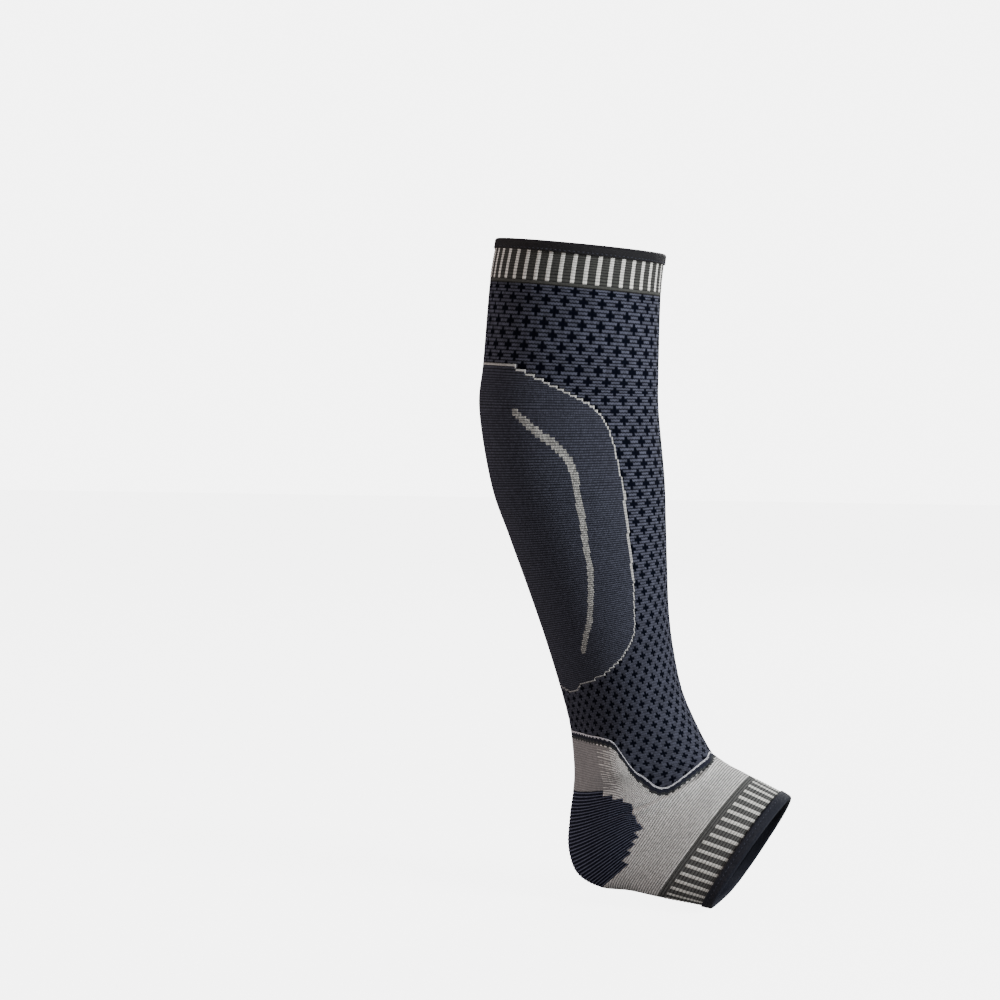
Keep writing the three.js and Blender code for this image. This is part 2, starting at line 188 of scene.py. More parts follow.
def curve_through(rows: Array, place: Array) -> Array:
    """Reads a smooth curve through evenly spaced rows, which runs straight on past both ends.

    Args:
        rows: One row of values for each whole place.
        place: The places to read, of any shape.

    Returns:
        The values at each place, with the columns on the last axis.
    """
    padded = np.vstack((2 * rows[0] - rows[1], rows, 2 * rows[-1] - rows[-2]))
    low = np.clip(np.floor(place).astype(int), 0, len(rows) - 2)
    share = (place - low)[..., None]
    before, start, end, after = (padded[low + i] for i in range(4))
    square, cube = share**2, share**3
    return (
        start * (2 * cube - 3 * square + 1)
        + (end - before) / 2 * (cube - 2 * square + share)
        + end * (3 * square - 2 * cube)
        + (after - start) / 2 * (cube - square)
    )


def read_line(stops: Sequence[float], values: Sequence[float], at: Array) -> Array:
    """Reads a smooth curve through unevenly spaced stops, which starts level.

    Args:
        stops: Rising positions of the values.
        values: The curve's value at each stop.
        at: The positions to read, of any shape.

    Returns:
        The curve's value at each position.
    """
    stops, values = np.asarray(stops, float), np.asarray(values, float)
    slopes = np.zeros(len(stops))
    slopes[1:-1] = (values[2:] - values[:-2]) / (stops[2:] - stops[:-2])
    slopes[-1] = (values[-1] - values[-2]) / (stops[-1] - stops[-2])
    low = np.clip(np.searchsorted(stops, at, side="left") - 1, 0, len(stops) - 2)
    width = stops[low + 1] - stops[low]
    share = np.clip((at - stops[low]) / width, 0, 1)
    square, cube = share**2, share**3
    return (
        values[low] * (2 * cube - 3 * square + 1)
        + slopes[low] * width * (cube - 2 * square + share)
        + values[low + 1] * (3 * square - 2 * cube)
        + slopes[low + 1] * width * (cube - square)
    )


def lengths_down(points: Array) -> Array:
    """Measures the cloth from the first row of points down to each row.

    Args:
        points: Points, with the rows on the first axis and the coordinates on the last.

    Returns:
        The length down to each point, in the unit of the points.
    """
    steps = np.linalg.norm(np.diff(points, axis=0), axis=-1)
    return np.concatenate((np.zeros((1, *steps.shape[1:])), np.cumsum(steps, axis=0)))


def turned_from(angle: Array, middle: float) -> Array:
    """Gives how far each angle lies from a middle angle, from -180 to 180 degrees."""
    return (np.asarray(angle) - middle + HALF_TURN) % FULL_TURN - HALF_TURN


@dataclass(frozen=True)
class SleeveForm:
    """The outer face of the sleeve, in millimetres, at any place along it and any angle from the shin.

    place_step and angle_step are the steps over which slopes are read, and girth_steps is the number of
    steps in which a girth is measured.
    """

    leg_rise: float = 350.0
    calf_depth: float = 125.0
    calf_width: float = 120.0
    calf_setback: float = 52.0
    ankle_depth: float = 84.0
    ankle_width: float = 68.0
    heel_drop: float = 96.0
    heel_setback: float = 53.0
    heel_width: float = 70.0
    instep_reach: float = 104.0
    instep_drop: float = 27.0
    sole_reach: float = 56.0
    sole_dip: float = 6.0
    foot_width: float = 84.0
    knit_wall: float = 1.5
    place_step: float = 0.02
    angle_step: float = 0.5
    girth_steps: int = 720

    def leg_row(self, row: LegSection) -> list[float]:
        """Works out a section of the leg.

        Args:
            row: The section's shares.

        Returns:
            Its front point's x and z, its back point's x and z, its half width, taper and squareness.
        """
        half = (self.ankle_depth + row.deep * (self.calf_depth - self.ankle_depth)) / 2
        width = self.ankle_width + row.wide * (self.calf_width - self.ankle_width)
        ahead, rise = half * math.cos(math.radians(row.tilt)), half * math.sin(math.radians(row.tilt))
        x, z = -row.behind * self.calf_setback, row.up * self.leg_rise
        return [x + ahead, z + rise, x - ahead, z - rise, width / 2, row.taper, 0.0]

    def foot_row(self, row: FootSection) -> list[float]:
        """Works out a section of the foot.

        Args:
            row: The section's shares.

        Returns:
            Its front point's x and z, its back point's x and z, its half width, taper and squareness.
        """
        reach = self.heel_setback if row.aft < 0 else self.sole_reach
        back_z = -row.drop * self.heel_drop - max(0.0, row.aft) * self.sole_dip
        width = self.heel_width + row.wide * (self.foot_width - self.heel_width)
        front = [row.fore * self.instep_reach, -row.sink * self.instep_drop]
        return [*front, row.aft * reach, back_z, width / 2, row.taper, row.square]

    @cached_property
    def rows(self) -> Array:
        """All the sections from the top edge to the front edge."""
        leg = [self.leg_row(row) for row in LEG_SECTIONS]
        return np.array(leg + [self.foot_row(row) for row in FOOT_SECTIONS])

    def face(self, place: Array, angle: Array) -> Array:
        """Gives points of the outer face.

        Args:
            place: Places along the sleeve, from 0 at the top edge to the last place at the front edge.
            angle: Angles from the shin towards the inner side.

        Returns:
            The points, in millimetres.
        """
        front_x, front_z, back_x, back_z, half_width, taper, square = np.moveaxis(
            curve_through(self.rows, place), -1, 0
        )
        turn = np.radians(angle)
        cosine, sine = np.cos(turn), np.sin(turn)
        power = 1 - square * (1 - cosine) / 4
        along = np.sign(cosine) * np.abs(cosine) ** power
        across = np.sign(sine) * np.abs(sine) ** power * (1 - taper * along)
        x, z = (front_x - back_x) / 2 * along, (front_z - back_z) / 2 * along
        radial = np.stack((x, half_width * across, z), axis=-1)
        length = np.linalg.norm(radial, axis=-1)
        rise = np.zeros_like(length)
        for form in FORMS:
            reach = ((place - form.place) / form.along) ** 2
            reach = reach + (turned_from(angle, form.angle) / form.around) ** 2
            rise += form.rise * np.exp(-reach)
        radial *= ((length + rise) / length)[..., None]
        middle = np.stack(((front_x + back_x) / 2, np.zeros_like(length), (front_z + back_z) / 2), axis=-1)
        return middle + radial

    def cloth(self, place: Array, angle: Array, height: Array | float = 0.0) -> Array:
        """Gives points over the outer face.

        Args:
            place: Places along the sleeve. One past either end runs straight on.
            angle: Angles from the shin towards the inner side.
            height: How far each point stands over the face, in millimetres.

        Returns:
            The points, in millimetres.
        """
        place, angle = np.broadcast_arrays(np.asarray(place, float), np.asarray(angle, float))
        inside = np.clip(place, 0, LAST_PLACE)
        low = np.clip(inside - self.place_step, 0, LAST_PLACE)
        high = np.clip(inside + self.place_step, 0, LAST_PLACE)
        along = (self.face(high, angle) - self.face(low, angle)) / (high - low)[..., None]
        around = self.face(inside, angle + self.angle_step) - self.face(inside, angle - self.angle_step)
        normal = np.cross(along, around)
        normal /= np.linalg.norm(normal, axis=-1)[..., None]
        runs_on = along * (place - inside)[..., None]
        return self.face(inside, angle) + runs_on + normal * np.asarray(height)[..., None]

    def even_angles(self, places: Array, wales: int) -> Array:
        """Spreads wales evenly round the sleeve.

        Args:
            places: The place of each row.
            wales: The number of wales.

        Returns:
            The angle of each corner, a row for each place.
        """
        probe = np.linspace(0, FULL_TURN, self.girth_steps + 1)
        points = self.face(*np.broadcast_arrays(np.asarray(places, float)[None, :], probe[:, None]))
        even = np.linspace(0, 1, wales + 1)
        girths = lengths_down(points).T
        return np.array([np.interp(even * girth[-1], girth, probe) for girth in girths])

    def stretch_along(self, place: float, angle: Array) -> Array:
        """Tells how long the cloth is for each whole place.

        Args:
            place: The place to measure at.
            angle: The angles to measure at.

        Returns:
            The length at each angle, in millimetres.
        """
        low, high = max(0.0, place - self.place_step), min(float(LAST_PLACE), place + self.place_step)
        span = self.face(np.full_like(angle, high), angle) - self.face(np.full_like(angle, low), angle)
        return np.linalg.norm(span, axis=-1) / (high - low)


# Yarns and finishes


MIX_SHARE = 0
MIX_COLOR_A = 6
MIX_COLOR_B = 7
MIX_COLOR_RESULT = 2


class ShaderGraph:
    """Adds nodes to a node tree and links them."""

    def __init__(self, tree: bpy.types.NodeTree) -> None:
        """Starts on an emptied tree."""
        self.tree = tree
        self.tree.nodes.clear()

    def node(self, kind: str, **settings: object) -> bpy.types.Node:
        """Adds a node.

        Args:
            kind: The node's type.
            settings: Its properties' values, by name.

        Returns:
            The node.
        """
        node = self.tree.nodes.new(kind)
        for name, value in settings.items():
            setattr(node, name, value)
        return node

    def feed(self, target: bpy.types.NodeSocket, source: bpy.types.NodeSocket | float | Sequence) -> None:
        """Links a socket to another, or sets its value.

        Args:
            target: The input to fill.
            source: The output to link, or the value to set.
        """
        if isinstance(source, bpy.types.NodeSocket):
            self.tree.links.new(source, target)
        else:
            target.default_value = source

    def math(self, operation: str, *values: bpy.types.NodeSocket | float) -> bpy.types.NodeSocket:
        """Adds a Math node.

        Args:
            operation: The operation's name.
            values: Its inputs, as sockets or numbers.

        Returns:
            The result's socket.
        """
        node = self.node("ShaderNodeMath", operation=operation)
        for socket, value in zip(node.inputs, values):
            self.feed(socket, value)
        return node.outputs[0]

    def remap(
        self,
        value: bpy.types.NodeSocket,
        span: tuple[float, float | bpy.types.NodeSocket],
        result: tuple[float, float] = (0.0, 1.0),
    ) -> bpy.types.NodeSocket:
        """Maps a span of values smoothly onto another span, held at its ends.

        Args:
            value: The value to map.
            span: The span's two ends.
            result: What the two ends become.

        Returns:
            The mapped value's socket.
        """
        node = self.node("ShaderNodeMapRange", interpolation_type="SMOOTHSTEP")
        for socket, number in zip(node.inputs, (value, *span, *result)):
            self.feed(socket, number)
        return node.outputs[0]

    def blend(
        self,
        mode: str,
        share: bpy.types.NodeSocket | float,
        first: bpy.types.NodeSocket | Sequence,
        second: bpy.types.NodeSocket | Sequence,
    ) -> bpy.types.NodeSocket:
        """Mixes two colours.

        Args:
            mode: The blend mode's name.
            share: How far the second colour shows.
            first: The first colour.
            second: The second colour.

        Returns:
            The mixed colour's socket.
        """
        node = self.node("ShaderNodeMix", data_type="RGBA", blend_type=mode)
        self.feed(node.inputs[MIX_SHARE], share)
        self.feed(node.inputs[MIX_COLOR_A], first)
        self.feed(node.inputs[MIX_COLOR_B], second)
        return node.outputs[MIX_COLOR_RESULT]

    def shade(self, color: bpy.types.NodeSocket, shade: bpy.types.NodeSocket) -> bpy.types.NodeSocket:
        """Multiplies a colour by a shade.

        Args:
            color: The colour.
            shade: The shade, 1 where the colour stays.

        Returns:
            The shaded colour's socket.
        """
        shades = self.node("ShaderNodeCombineColor")
        for socket in shades.inputs:
            self.feed(socket, shade)
        return self.blend("MULTIPLY", 1.0, color, shades.outputs[0])

    def group(self, tree: bpy.types.NodeTree, point: str, where: bpy.types.NodeSocket) -> bpy.types.Node:
        """Places a shared node group.

        Args:
            tree: The group's tree.
            point: The name of its input for a place.
            where: The place to feed it.

        Returns:
            The group's node.
        """
        node = self.node("ShaderNodeGroup", node_tree=tree)
        self.feed(node.inputs[point], where)
        return node


def new_group(
    name: str, inputs: dict[str, tuple[str, object]], outputs: Sequence[str]
) -> tuple[bpy.types.NodeTree, ShaderGraph, bpy.types.Node, bpy.types.Node]:
    """Starts a shader node group.

    Args:
        name: The group's name.
        inputs: Each input's socket kind and first value, by name.
        outputs: The names of its number outputs.

    Returns:
        The group's tree, its graph, and the nodes that hold its inputs and outputs.
    """
    tree = bpy.data.node_groups.new(name, "ShaderNodeTree")
    for label, (kind, value) in inputs.items():
        socket = tree.interface.new_socket(label, in_out="INPUT", socket_type=kind)
        if value is not None:
            socket.default_value = value
    for label in outputs:
        tree.interface.new_socket(label, in_out="OUTPUT", socket_type="NodeSocketFloat")
    graph = ShaderGraph(tree)
    return tree, graph, graph.node("NodeGroupInput"), graph.node("NodeGroupOutput")


COURSE_DIP_START = 0.15
WALE_DIP = (0.1, 0.7)
BROAD_WEAR_SCALE = 18.0
FINE_WEAR_SCALE = 420.0


def make_stitch_group() -> bpy.types.NodeTree:
    """Makes the group that shapes a knit stitch: two slanted legs in each cell, with gaps round them.

    Returns:
        The group. Its height and gap shape the stitch, and its tone differs from cell to cell. Its gap is
        the mask where a yarn's gap colour is painted: partly the darker yarn that shows between the loops,
        partly painted shade in the hollows between the stitches.
    """
    tree, graph, given, result = new_group(
        "knit stitch",
        {
            "Cell": ("NodeSocketVector", None),
            "Slant": ("NodeSocketFloat", 0.35),
            "Course Gap": ("NodeSocketFloat", 0.45),
            "Wale Gap": ("NodeSocketFloat", 0.3),
            "Gap Reach": ("NodeSocketFloat", 0.75),
        },
        ("Height", "Gap", "Tone"),
    )
    parts = graph.node("ShaderNodeSeparateXYZ")
    graph.feed(parts.inputs[0], given.outputs["Cell"])
    wale = graph.math("FRACT", parts.outputs[0])
    from_middle = graph.math("ABSOLUTE", graph.math("SUBTRACT", wale, 0.5))
    lift = graph.math("MULTIPLY", from_middle, given.outputs["Slant"])
    course = graph.math("FRACT", graph.math("ADD", parts.outputs[1], lift))
    course_wave = graph.math("SINE", graph.math("MULTIPLY", course, math.pi))
    wale_wave = graph.math("SINE", graph.math("MULTIPLY", wale, math.pi))
    course_gap = graph.math(
        "MULTIPLY",
        graph.remap(course_wave, (COURSE_DIP_START, given.outputs["Gap Reach"]), (1.0, 0.0)),
        given.outputs["Course Gap"],
    )
    wale_gap = graph.math(
        "MULTIPLY", graph.remap(wale_wave, WALE_DIP, (1.0, 0.0)), given.outputs["Wale Gap"]
    )
    gap = graph.math("MAXIMUM", course_gap, wale_gap)
    graph.feed(result.inputs["Gap"], gap)
    graph.feed(result.inputs["Height"], graph.math("SUBTRACT", 1.0, gap))
    whole = graph.node("ShaderNodeVectorMath", operation="FLOOR")
    graph.feed(whole.inputs[0], given.outputs["Cell"])
    scatter = graph.node("ShaderNodeTexWhiteNoise", noise_dimensions="2D")
    graph.feed(scatter.inputs["Vector"], whole.outputs[0])
    graph.feed(result.inputs["Tone"], scatter.outputs["Value"])
    return tree


def make_wear_group() -> bpy.types.NodeTree:
    """Makes the group for the soft change of tone over worn, stretched cloth.

    Returns:
        The group. Its shade is about 1 all over.
    """
    tree, graph, given, result = new_group(
        "stretched cloth",
        {"Point": ("NodeSocketVector", None), "Amount": ("NodeSocketFloat", 0.15)},
        ("Shade",),
    )
    broad = graph.node("ShaderNodeTexNoise")
    graph.feed(broad.inputs["Vector"], given.outputs["Point"])
    graph.feed(broad.inputs["Scale"], BROAD_WEAR_SCALE)
    fine = graph.node("ShaderNodeTexNoise")
    graph.feed(fine.inputs["Vector"], given.outputs["Point"])
    graph.feed(fine.inputs["Scale"], FINE_WEAR_SCALE)
    mean = graph.math(
        "ADD", graph.math("MULTIPLY", broad.outputs[0], 0.5), graph.math("MULTIPLY", fine.outputs[0], 0.5)
    )
    swing = graph.math("MULTIPLY", graph.math("SUBTRACT", mean, 0.5), given.outputs["Amount"])
    graph.feed(result.inputs["Shade"], graph.math("ADD", graph.math("MULTIPLY", swing, 2.0), 1.0))
    return tree


@dataclass(frozen=True)
class ClothSurface:
    """How a cloth takes the light.

    relief is the height of its pattern in metres and bump how strongly it shows. sheen is the cloth's
    soft glow and gloss its mirror-like part.
    """

    relief: float
    bump: float
    roughness: float
    sheen: float
    gloss: float

    def cover(
        self, graph: ShaderGraph, color: bpy.types.NodeSocket, height: bpy.types.NodeSocket
    ) -> None:
        """Adds a material's shader and output.

        Args:
            graph: The material's graph.
            color: The cloth's colour.
            height: The pattern's height, from 0 to 1.
        """
        bump = graph.node("ShaderNodeBump")
        bump.inputs["Strength"].default_value = self.bump
        bump.inputs["Distance"].default_value = self.relief
        graph.feed(bump.inputs["Height"], height)
        shader = graph.node("ShaderNodeBsdfPrincipled")
        graph.feed(shader.inputs["Base Color"], color)
        shader.inputs["Roughness"].default_value = self.roughness
        shader.inputs["Sheen Weight"].default_value = self.sheen
        shader.inputs["Specular IOR Level"].default_value = self.gloss
        graph.feed(shader.inputs["Normal"], bump.outputs[0])
        output = graph.node("ShaderNodeOutputMaterial")
        graph.feed(output.inputs["Surface"], shader.outputs[0])


@dataclass(frozen=True)
class Fade:
    """How a knit changes from one course to another, to what is left of its gaps and tone."""

    first_course: float
    last_course: float
    gap_left: float
    tone_left: float

    def along(
        self, graph: ShaderGraph, course: bpy.types.NodeSocket, start: float, end: float
    ) -> bpy.types.NodeSocket:
        """Gives a value that changes over the fade's courses.

        Args:
            graph: The material's graph.
            course: The course's number.
            start: The value up to the first course.
            end: The value from the last course on.

        Returns:
            The value's socket.
        """
        return graph.remap(course, (self.first_course, self.last_course), (start, end))


@dataclass(frozen=True)
class Yarn:
    """A knitted yarn's finish.

    color is the lit yarn and gap the shade between its stitches, both as linear colour. slant,
    course_gap, wale_gap and gap_reach shape its stitch, cells is the number of stitches across and along
    each cell, and tone_swing is the stitches' change of tone.
    """

    name: str
    color: tuple[float, float, float]
    gap: tuple[float, float, float]
    slant: float = 0.35
    course_gap: float = 0.9
    wale_gap: float = 0.35
    gap_reach: float = 0.75
    relief: float = 0.0005
    bump: float = 0.8
    roughness: float = 0.85
    sheen: float = 0.02
    gloss: float = 0.12
    tone_swing: float = 0.22
    cells: tuple[float, float] = (1.0, 1.0)
    fade: Fade | None = None

    def make(self, stitch: bpy.types.NodeTree, wear: bpy.types.NodeTree) -> bpy.types.Material:
        """Makes the yarn's material.

        Args:
            stitch: The shared stitch group.
            wear: The shared group for stretched cloth.

        Returns:
            The material.
        """
        material = bpy.data.materials.new(self.name)
        material.use_nodes = True
        graph = ShaderGraph(material.node_tree)
        cells = graph.node("ShaderNodeUVMap", uv_map=KNIT_UV)
        scaled = graph.node("ShaderNodeMapping")
        graph.feed(scaled.inputs["Vector"], cells.outputs[0])
        scaled.inputs["Scale"].default_value = (*self.cells, 1.0)
        knit = graph.group(stitch, "Cell", scaled.outputs[0])
        knit.inputs["Slant"].default_value = self.slant
        knit.inputs["Course Gap"].default_value = self.course_gap
        knit.inputs["Wale Gap"].default_value = self.wale_gap
        knit.inputs["Gap Reach"].default_value = self.gap_reach
        cloth = graph.group(wear, "Point", graph.node("ShaderNodeTexCoord").outputs["Object"])
        tone = graph.math("MULTIPLY", graph.math("SUBTRACT", knit.outputs["Tone"], 0.5), self.tone_swing)
        shade = graph.math("MULTIPLY", graph.math("ADD", tone, 1.0), cloth.outputs["Shade"])
        if self.fade is not None:
            parts = graph.node("ShaderNodeSeparateXYZ")
            graph.feed(parts.inputs[0], cells.outputs[0])
            course = parts.outputs["Y"]
            course_gap = self.fade.along(graph, course, self.course_gap, self.fade.gap_left)
            graph.feed(knit.inputs["Course Gap"], course_gap)
            shade = graph.math("MULTIPLY", shade, self.fade.along(graph, course, 1.0, self.fade.tone_left))
        # The gap colour goes where the stitch's gap mask is high: painted shade between the stitches, over
        # the darker yarn that shows there.
        stitched = graph.blend("MIX", knit.outputs["Gap"], (*self.color, 1.0), (*self.gap, 1.0))
        surface = ClothSurface(self.relief, self.bump, self.roughness, self.sheen, self.gloss)
        surface.cover(graph, graph.shade(stitched, shade), knit.outputs["Height"])
        return material


def linear(color: str) -> tuple[float, float, float]:
    """Gives a colour written as six hex digits as linear values."""
    parts = (int(color[i : i + 2], 16) / 255 for i in (0, 2, 4))
    return tuple(part / 12.92 if part <= 0.04045 else ((part + 0.055) / 1.055) ** 2.4 for part in parts)


class Thread(IntEnum):
    """The yarns that the chart of a knitted piece names, in the order of its material slots."""

    GROUND = 0
    FIGURE = 1
    LINE = 2
    SHADOW = 3
    # SMOOTH is the smooth knit behind the ankle: its darker yarn is partly that knit's own and partly
    # painted shade.
    SMOOTH = 4
    NONE = -1


SLATE = Yarn(
    "slate yarn",
    linear("3b3d49"),
    linear("02040a"),
    course_gap=0.95,
    wale_gap=0.12,
    gap_reach=0.95,
    gloss=0.05,
    tone_swing=0.5,
    cells=(0.5, 1.0),
    fade=Fade(first_course=70.0, last_course=135.0, gap_left=0.35, tone_left=0.68),
)
CROSS_NAVY = Yarn(
    "cross navy yarn",
    linear("04060f"),
    linear("020309"),
    course_gap=0.4,
    wale_gap=0.3,
    sheen=0.0,
    gloss=0.02,
)
PANEL_NAVY = Yarn(
    "panel navy yarn",
    linear("3b3d48"),
    linear("0a0c12"),
    course_gap=0.95,
    wale_gap=0.7,
    gap_reach=0.9,
    gloss=0.05,
    tone_swing=0.45,
    cells=(1.0, 1.4),
)
ARC_SILVER = Yarn(
    "arc silver yarn",
    linear("969693"),
    linear("18191e"),
    wale_gap=0.7,
    tone_swing=0.7,
    cells=(1.0, 1.4),
)
PANEL_LINE = Yarn("panel line yarn", linear("a2a2a0"), linear("2c2d32"), course_gap=0.7, wale_gap=0.5)
SILVER = Yarn(
    "silver yarn",
    linear("c6c6c1"),
    linear("2a2b2e"),
    course_gap=0.65,
    wale_gap=0.15,
    sheen=0.05,
)
CUFF_GREY = Yarn("cuff grey yarn", linear("383937"), linear("0f0f10"), wale_gap=0.3)
FOOT_GREY = Yarn("foot band grey yarn", linear("515251"), linear("171718"), wale_gap=0.3)
LINE_SILVER = Yarn(
    "line silver yarn",
    linear("b0b1b8"),
    linear("45464b"),
    course_gap=0.6,
    wale_gap=0.2,
    sheen=0.05,
)
BAND_NAVY = Yarn("band navy yarn", linear("161926"), linear("06070c"), course_gap=0.6)
BAND_CHARCOAL = Yarn("band charcoal yarn", linear("303334"), linear("0f0f12"), course_gap=0.6)
ANKLE_GREY = Yarn(
    "ankle grey yarn",
    linear("bfbebc"),
    linear("2a2a2d"),
    course_gap=0.88,
    wale_gap=0.4,
    gap_reach=0.85,
    tone_swing=0.35,
)
# The smooth knit behind the ankle: partly its own plainer yarn, partly painted shade that makes the back of
# the ankle darker.
TENDON_PAINTED_SHADE_GREY = Yarn("tendon grey yarn with painted shade", linear("787778"), linear("4c4b4b"), course_gap=0.6, wale_gap=0.3)
HEEL_NAVY = Yarn(
    "heel navy yarn",
    linear("0d101d"),
    linear("06070d"),
    course_gap=0.5,
    sheen=0.0,
    gloss=0.05,
)
# A lit copy of the heel navy, painted on the middle row of each heel rib: painted highlight on the rib's
# crest.
HEEL_RIB_PAINTED_HIGHLIGHT = Yarn("heel rib painted highlight yarn", linear("4c5060"), linear("0c0e16"), course_gap=0.4, gloss=0.06)
INSIDE = Yarn("inside knit", linear("282931"), linear("0d0e12"), course_gap=0.8)
INSIDE_PALE = Yarn("inside pale knit", linear("7d7c7a"), linear("3a3a3b"), course_gap=0.8)


@dataclass(frozen=True)
class TapeFinish:
    """The binding tape's finish: a close twill with a soft gloss."""

    name: str
    color: tuple[float, float, float]
    rib: tuple[float, float, float]
    twill_slant: float = 0.6
    relief: float = 0.00025
    bump: float = 0.6
    roughness: float = 0.7
    gloss: float = 0.2

    def make(self, wear: bpy.types.NodeTree) -> bpy.types.Material:
        """Makes the tape's material.

        Args:
            wear: The shared group for stretched cloth.

        Returns:
            The material.
        """
        material = bpy.data.materials.new(self.name)
        material.use_nodes = True
        graph = ShaderGraph(material.node_tree)
        cells = graph.node("ShaderNodeUVMap", uv_map=KNIT_UV)
        parts = graph.node("ShaderNodeSeparateXYZ")
        graph.feed(parts.inputs[0], cells.outputs[0])
        across, along = parts.outputs["X"], parts.outputs["Y"]
        slanted = graph.math("ADD", across, graph.math("MULTIPLY", along, self.twill_slant))
        twill = graph.math("SINE", graph.math("MULTIPLY", slanted, 2 * math.pi))
        weave = graph.math("SINE", graph.math("MULTIPLY", along, 4 * math.pi))
        height = graph.remap(graph.math("MULTIPLY", twill, weave), (-1.0, 1.0))
        cloth = graph.group(wear, "Point", graph.node("ShaderNodeTexCoord").outputs["Object"])
        woven = graph.blend("MIX", height, (*self.color, 1.0), (*self.rib, 1.0))
        surface = ClothSurface(self.relief, self.bump, self.roughness, sheen=0.0, gloss=self.gloss)
        surface.cover(graph, graph.shade(woven, cloth.outputs["Shade"]), height)
        return material


BLACK_TAPE = TapeFinish("black binding tape", linear("060609"), linear("0d0d12"))
NAVY_TAPE = TapeFinish("navy binding tape", linear("0a0c14"), linear("121622"))
SEAM_THREAD = TapeFinish("seam thread", linear("1e1f29"), linear("2c2e39"))


class Palette:
    """Makes each finish once, from the shared groups."""

    def __init__(self) -> None:
        """Makes the shared groups."""
        self.stitch = make_stitch_group()
        self.wear = make_wear_group()
        self.made: dict[str, bpy.types.Material] = {}

    def of(self, finish: Yarn | TapeFinish) -> bpy.types.Material:
        """Gives a finish's material.

        Args:
            finish: The finish.

        Returns:
            Its material, made when it is first asked for.
        """
        if finish.name not in self.made:
            groups = (self.stitch, self.wear) if isinstance(finish, Yarn) else (self.wear,)
            self.made[finish.name] = finish.make(*groups)
        return self.made[finish.name]


# Knitted pieces


def finish_mesh(
    name: str, bm: bmesh.types.BMesh, materials: Sequence[bpy.types.Material]
) -> bpy.types.Object:
    """Turns a bmesh into a piece, and frees it.

    Args:
        name: The piece's name.
        bm: Its mesh, in metres and in its place.
        materials: Its materials, in the order of their slots.

    Returns:
        The piece.
    """
    mesh = bpy.data.meshes.new(name)
    bm.to_mesh(mesh)
    bm.free()
    for material in materials:
        mesh.materials.append(material)
    piece = bpy.data.objects.new(name, mesh)
    bpy.context.scene.collection.objects.link(piece)
    return piece


@dataclass
class KnitGrid:
    """A grid of knit cells wrapped round the sleeve, a column for each wale.

    place, angle and relief have a value for each corner of the cells, relief in millimetres over the
    face. courses holds one or more layers of course numbers for the corners.
    """

    form: SleeveForm
    place: Array
    angle: Array
    relief: Array
    courses: Sequence[Array]

    @cached_property
    def rows(self) -> int:
        """The number of rows of cells."""
        return self.place.shape[0] - 1

    @cached_property
    def wales(self) -> int:
        """The number of wales round the sleeve."""
        return self.place.shape[1] - 1

    @cached_property
    def corners(self) -> Array:
        """The corners in metres."""
        return self.form.cloth(self.place, self.angle, self.relief) * MM

    def piece(
        self,
        name: str,
        chart: Array,
        materials: Sequence[bpy.types.Material],
        layer: Array | None = None,
    ) -> bpy.types.Object:
        """Builds the cells that a chart names as one knitted piece with a wall.

        Args:
            name: The piece's name.
            chart: The thread of each cell, or Thread.NONE for a cell that isn't the piece's.
            materials: A material for each thread and the inside's at the end.
            layer: Which layer of course numbers each cell takes, the first if None.

        Returns:
            The piece.
        """
        bm = bmesh.new()
        uv = bm.loops.layers.uv.new(KNIT_UV)
        bmesh.ops.create_grid(bm, x_segments=self.wales, y_segments=self.rows, size=0.5)
        unused = []
        for face in bm.faces:
            middle = face.calc_center_median()
            row, wale = int((0.5 - middle.y) * self.rows), int((0.5 + middle.x) * self.wales)
            thread = int(chart[row, wale])
            if thread == Thread.NONE:
                unused.append(face)
                continue
            face.material_index = thread
            face.smooth = True
            numbers = self.courses[0 if layer is None else int(layer[row, wale])]
            for loop in face.loops:
                down, across = self.corner_at(loop.vert.co)
                loop[uv].uv = (across, numbers[down, across])
        bmesh.ops.delete(bm, geom=unused, context="FACES")
        for vert in bm.verts:
            vert.co = Vector(self.corners[self.corner_at(vert.co)])
        bmesh.ops.remove_doubles(bm, verts=bm.verts, dist=MERGE_DISTANCE)
        piece = finish_mesh(name, bm, materials)
        wall = piece.modifiers.new("knit wall", "SOLIDIFY")
        wall.thickness = self.form.knit_wall * MM
        wall.offset = -1.0
        wall.material_offset = len(materials)
        wall.material_offset_rim = 0
        return piece

    def corner_at(self, point: Vector) -> tuple[int, int]:
        """Gives the row and wale of a point of the flat grid."""
        return round((0.5 - point.y) * self.rows), round((0.5 + point.x) * self.wales)


@dataclass
class AnkleLine:
    """The line where the leg's knit meets the ankle's, the same on both sides of the shin."""

    angles: Sequence[float] = (0, 15, 31, 48, 61, 69, 79, 89, 96, 132, 180)
    places: Sequence[float] = (11.0, 11.4, 12.1, 12.9, 13.3, 13.0, 11.8, 10.4, 9.85, 9.5, 9.25)

    def at(self, angle: Array) -> Array:
        """Gives the line's place at each angle."""
        return read_line(self.angles, self.places, np.abs(turned_from(angle, 0)))


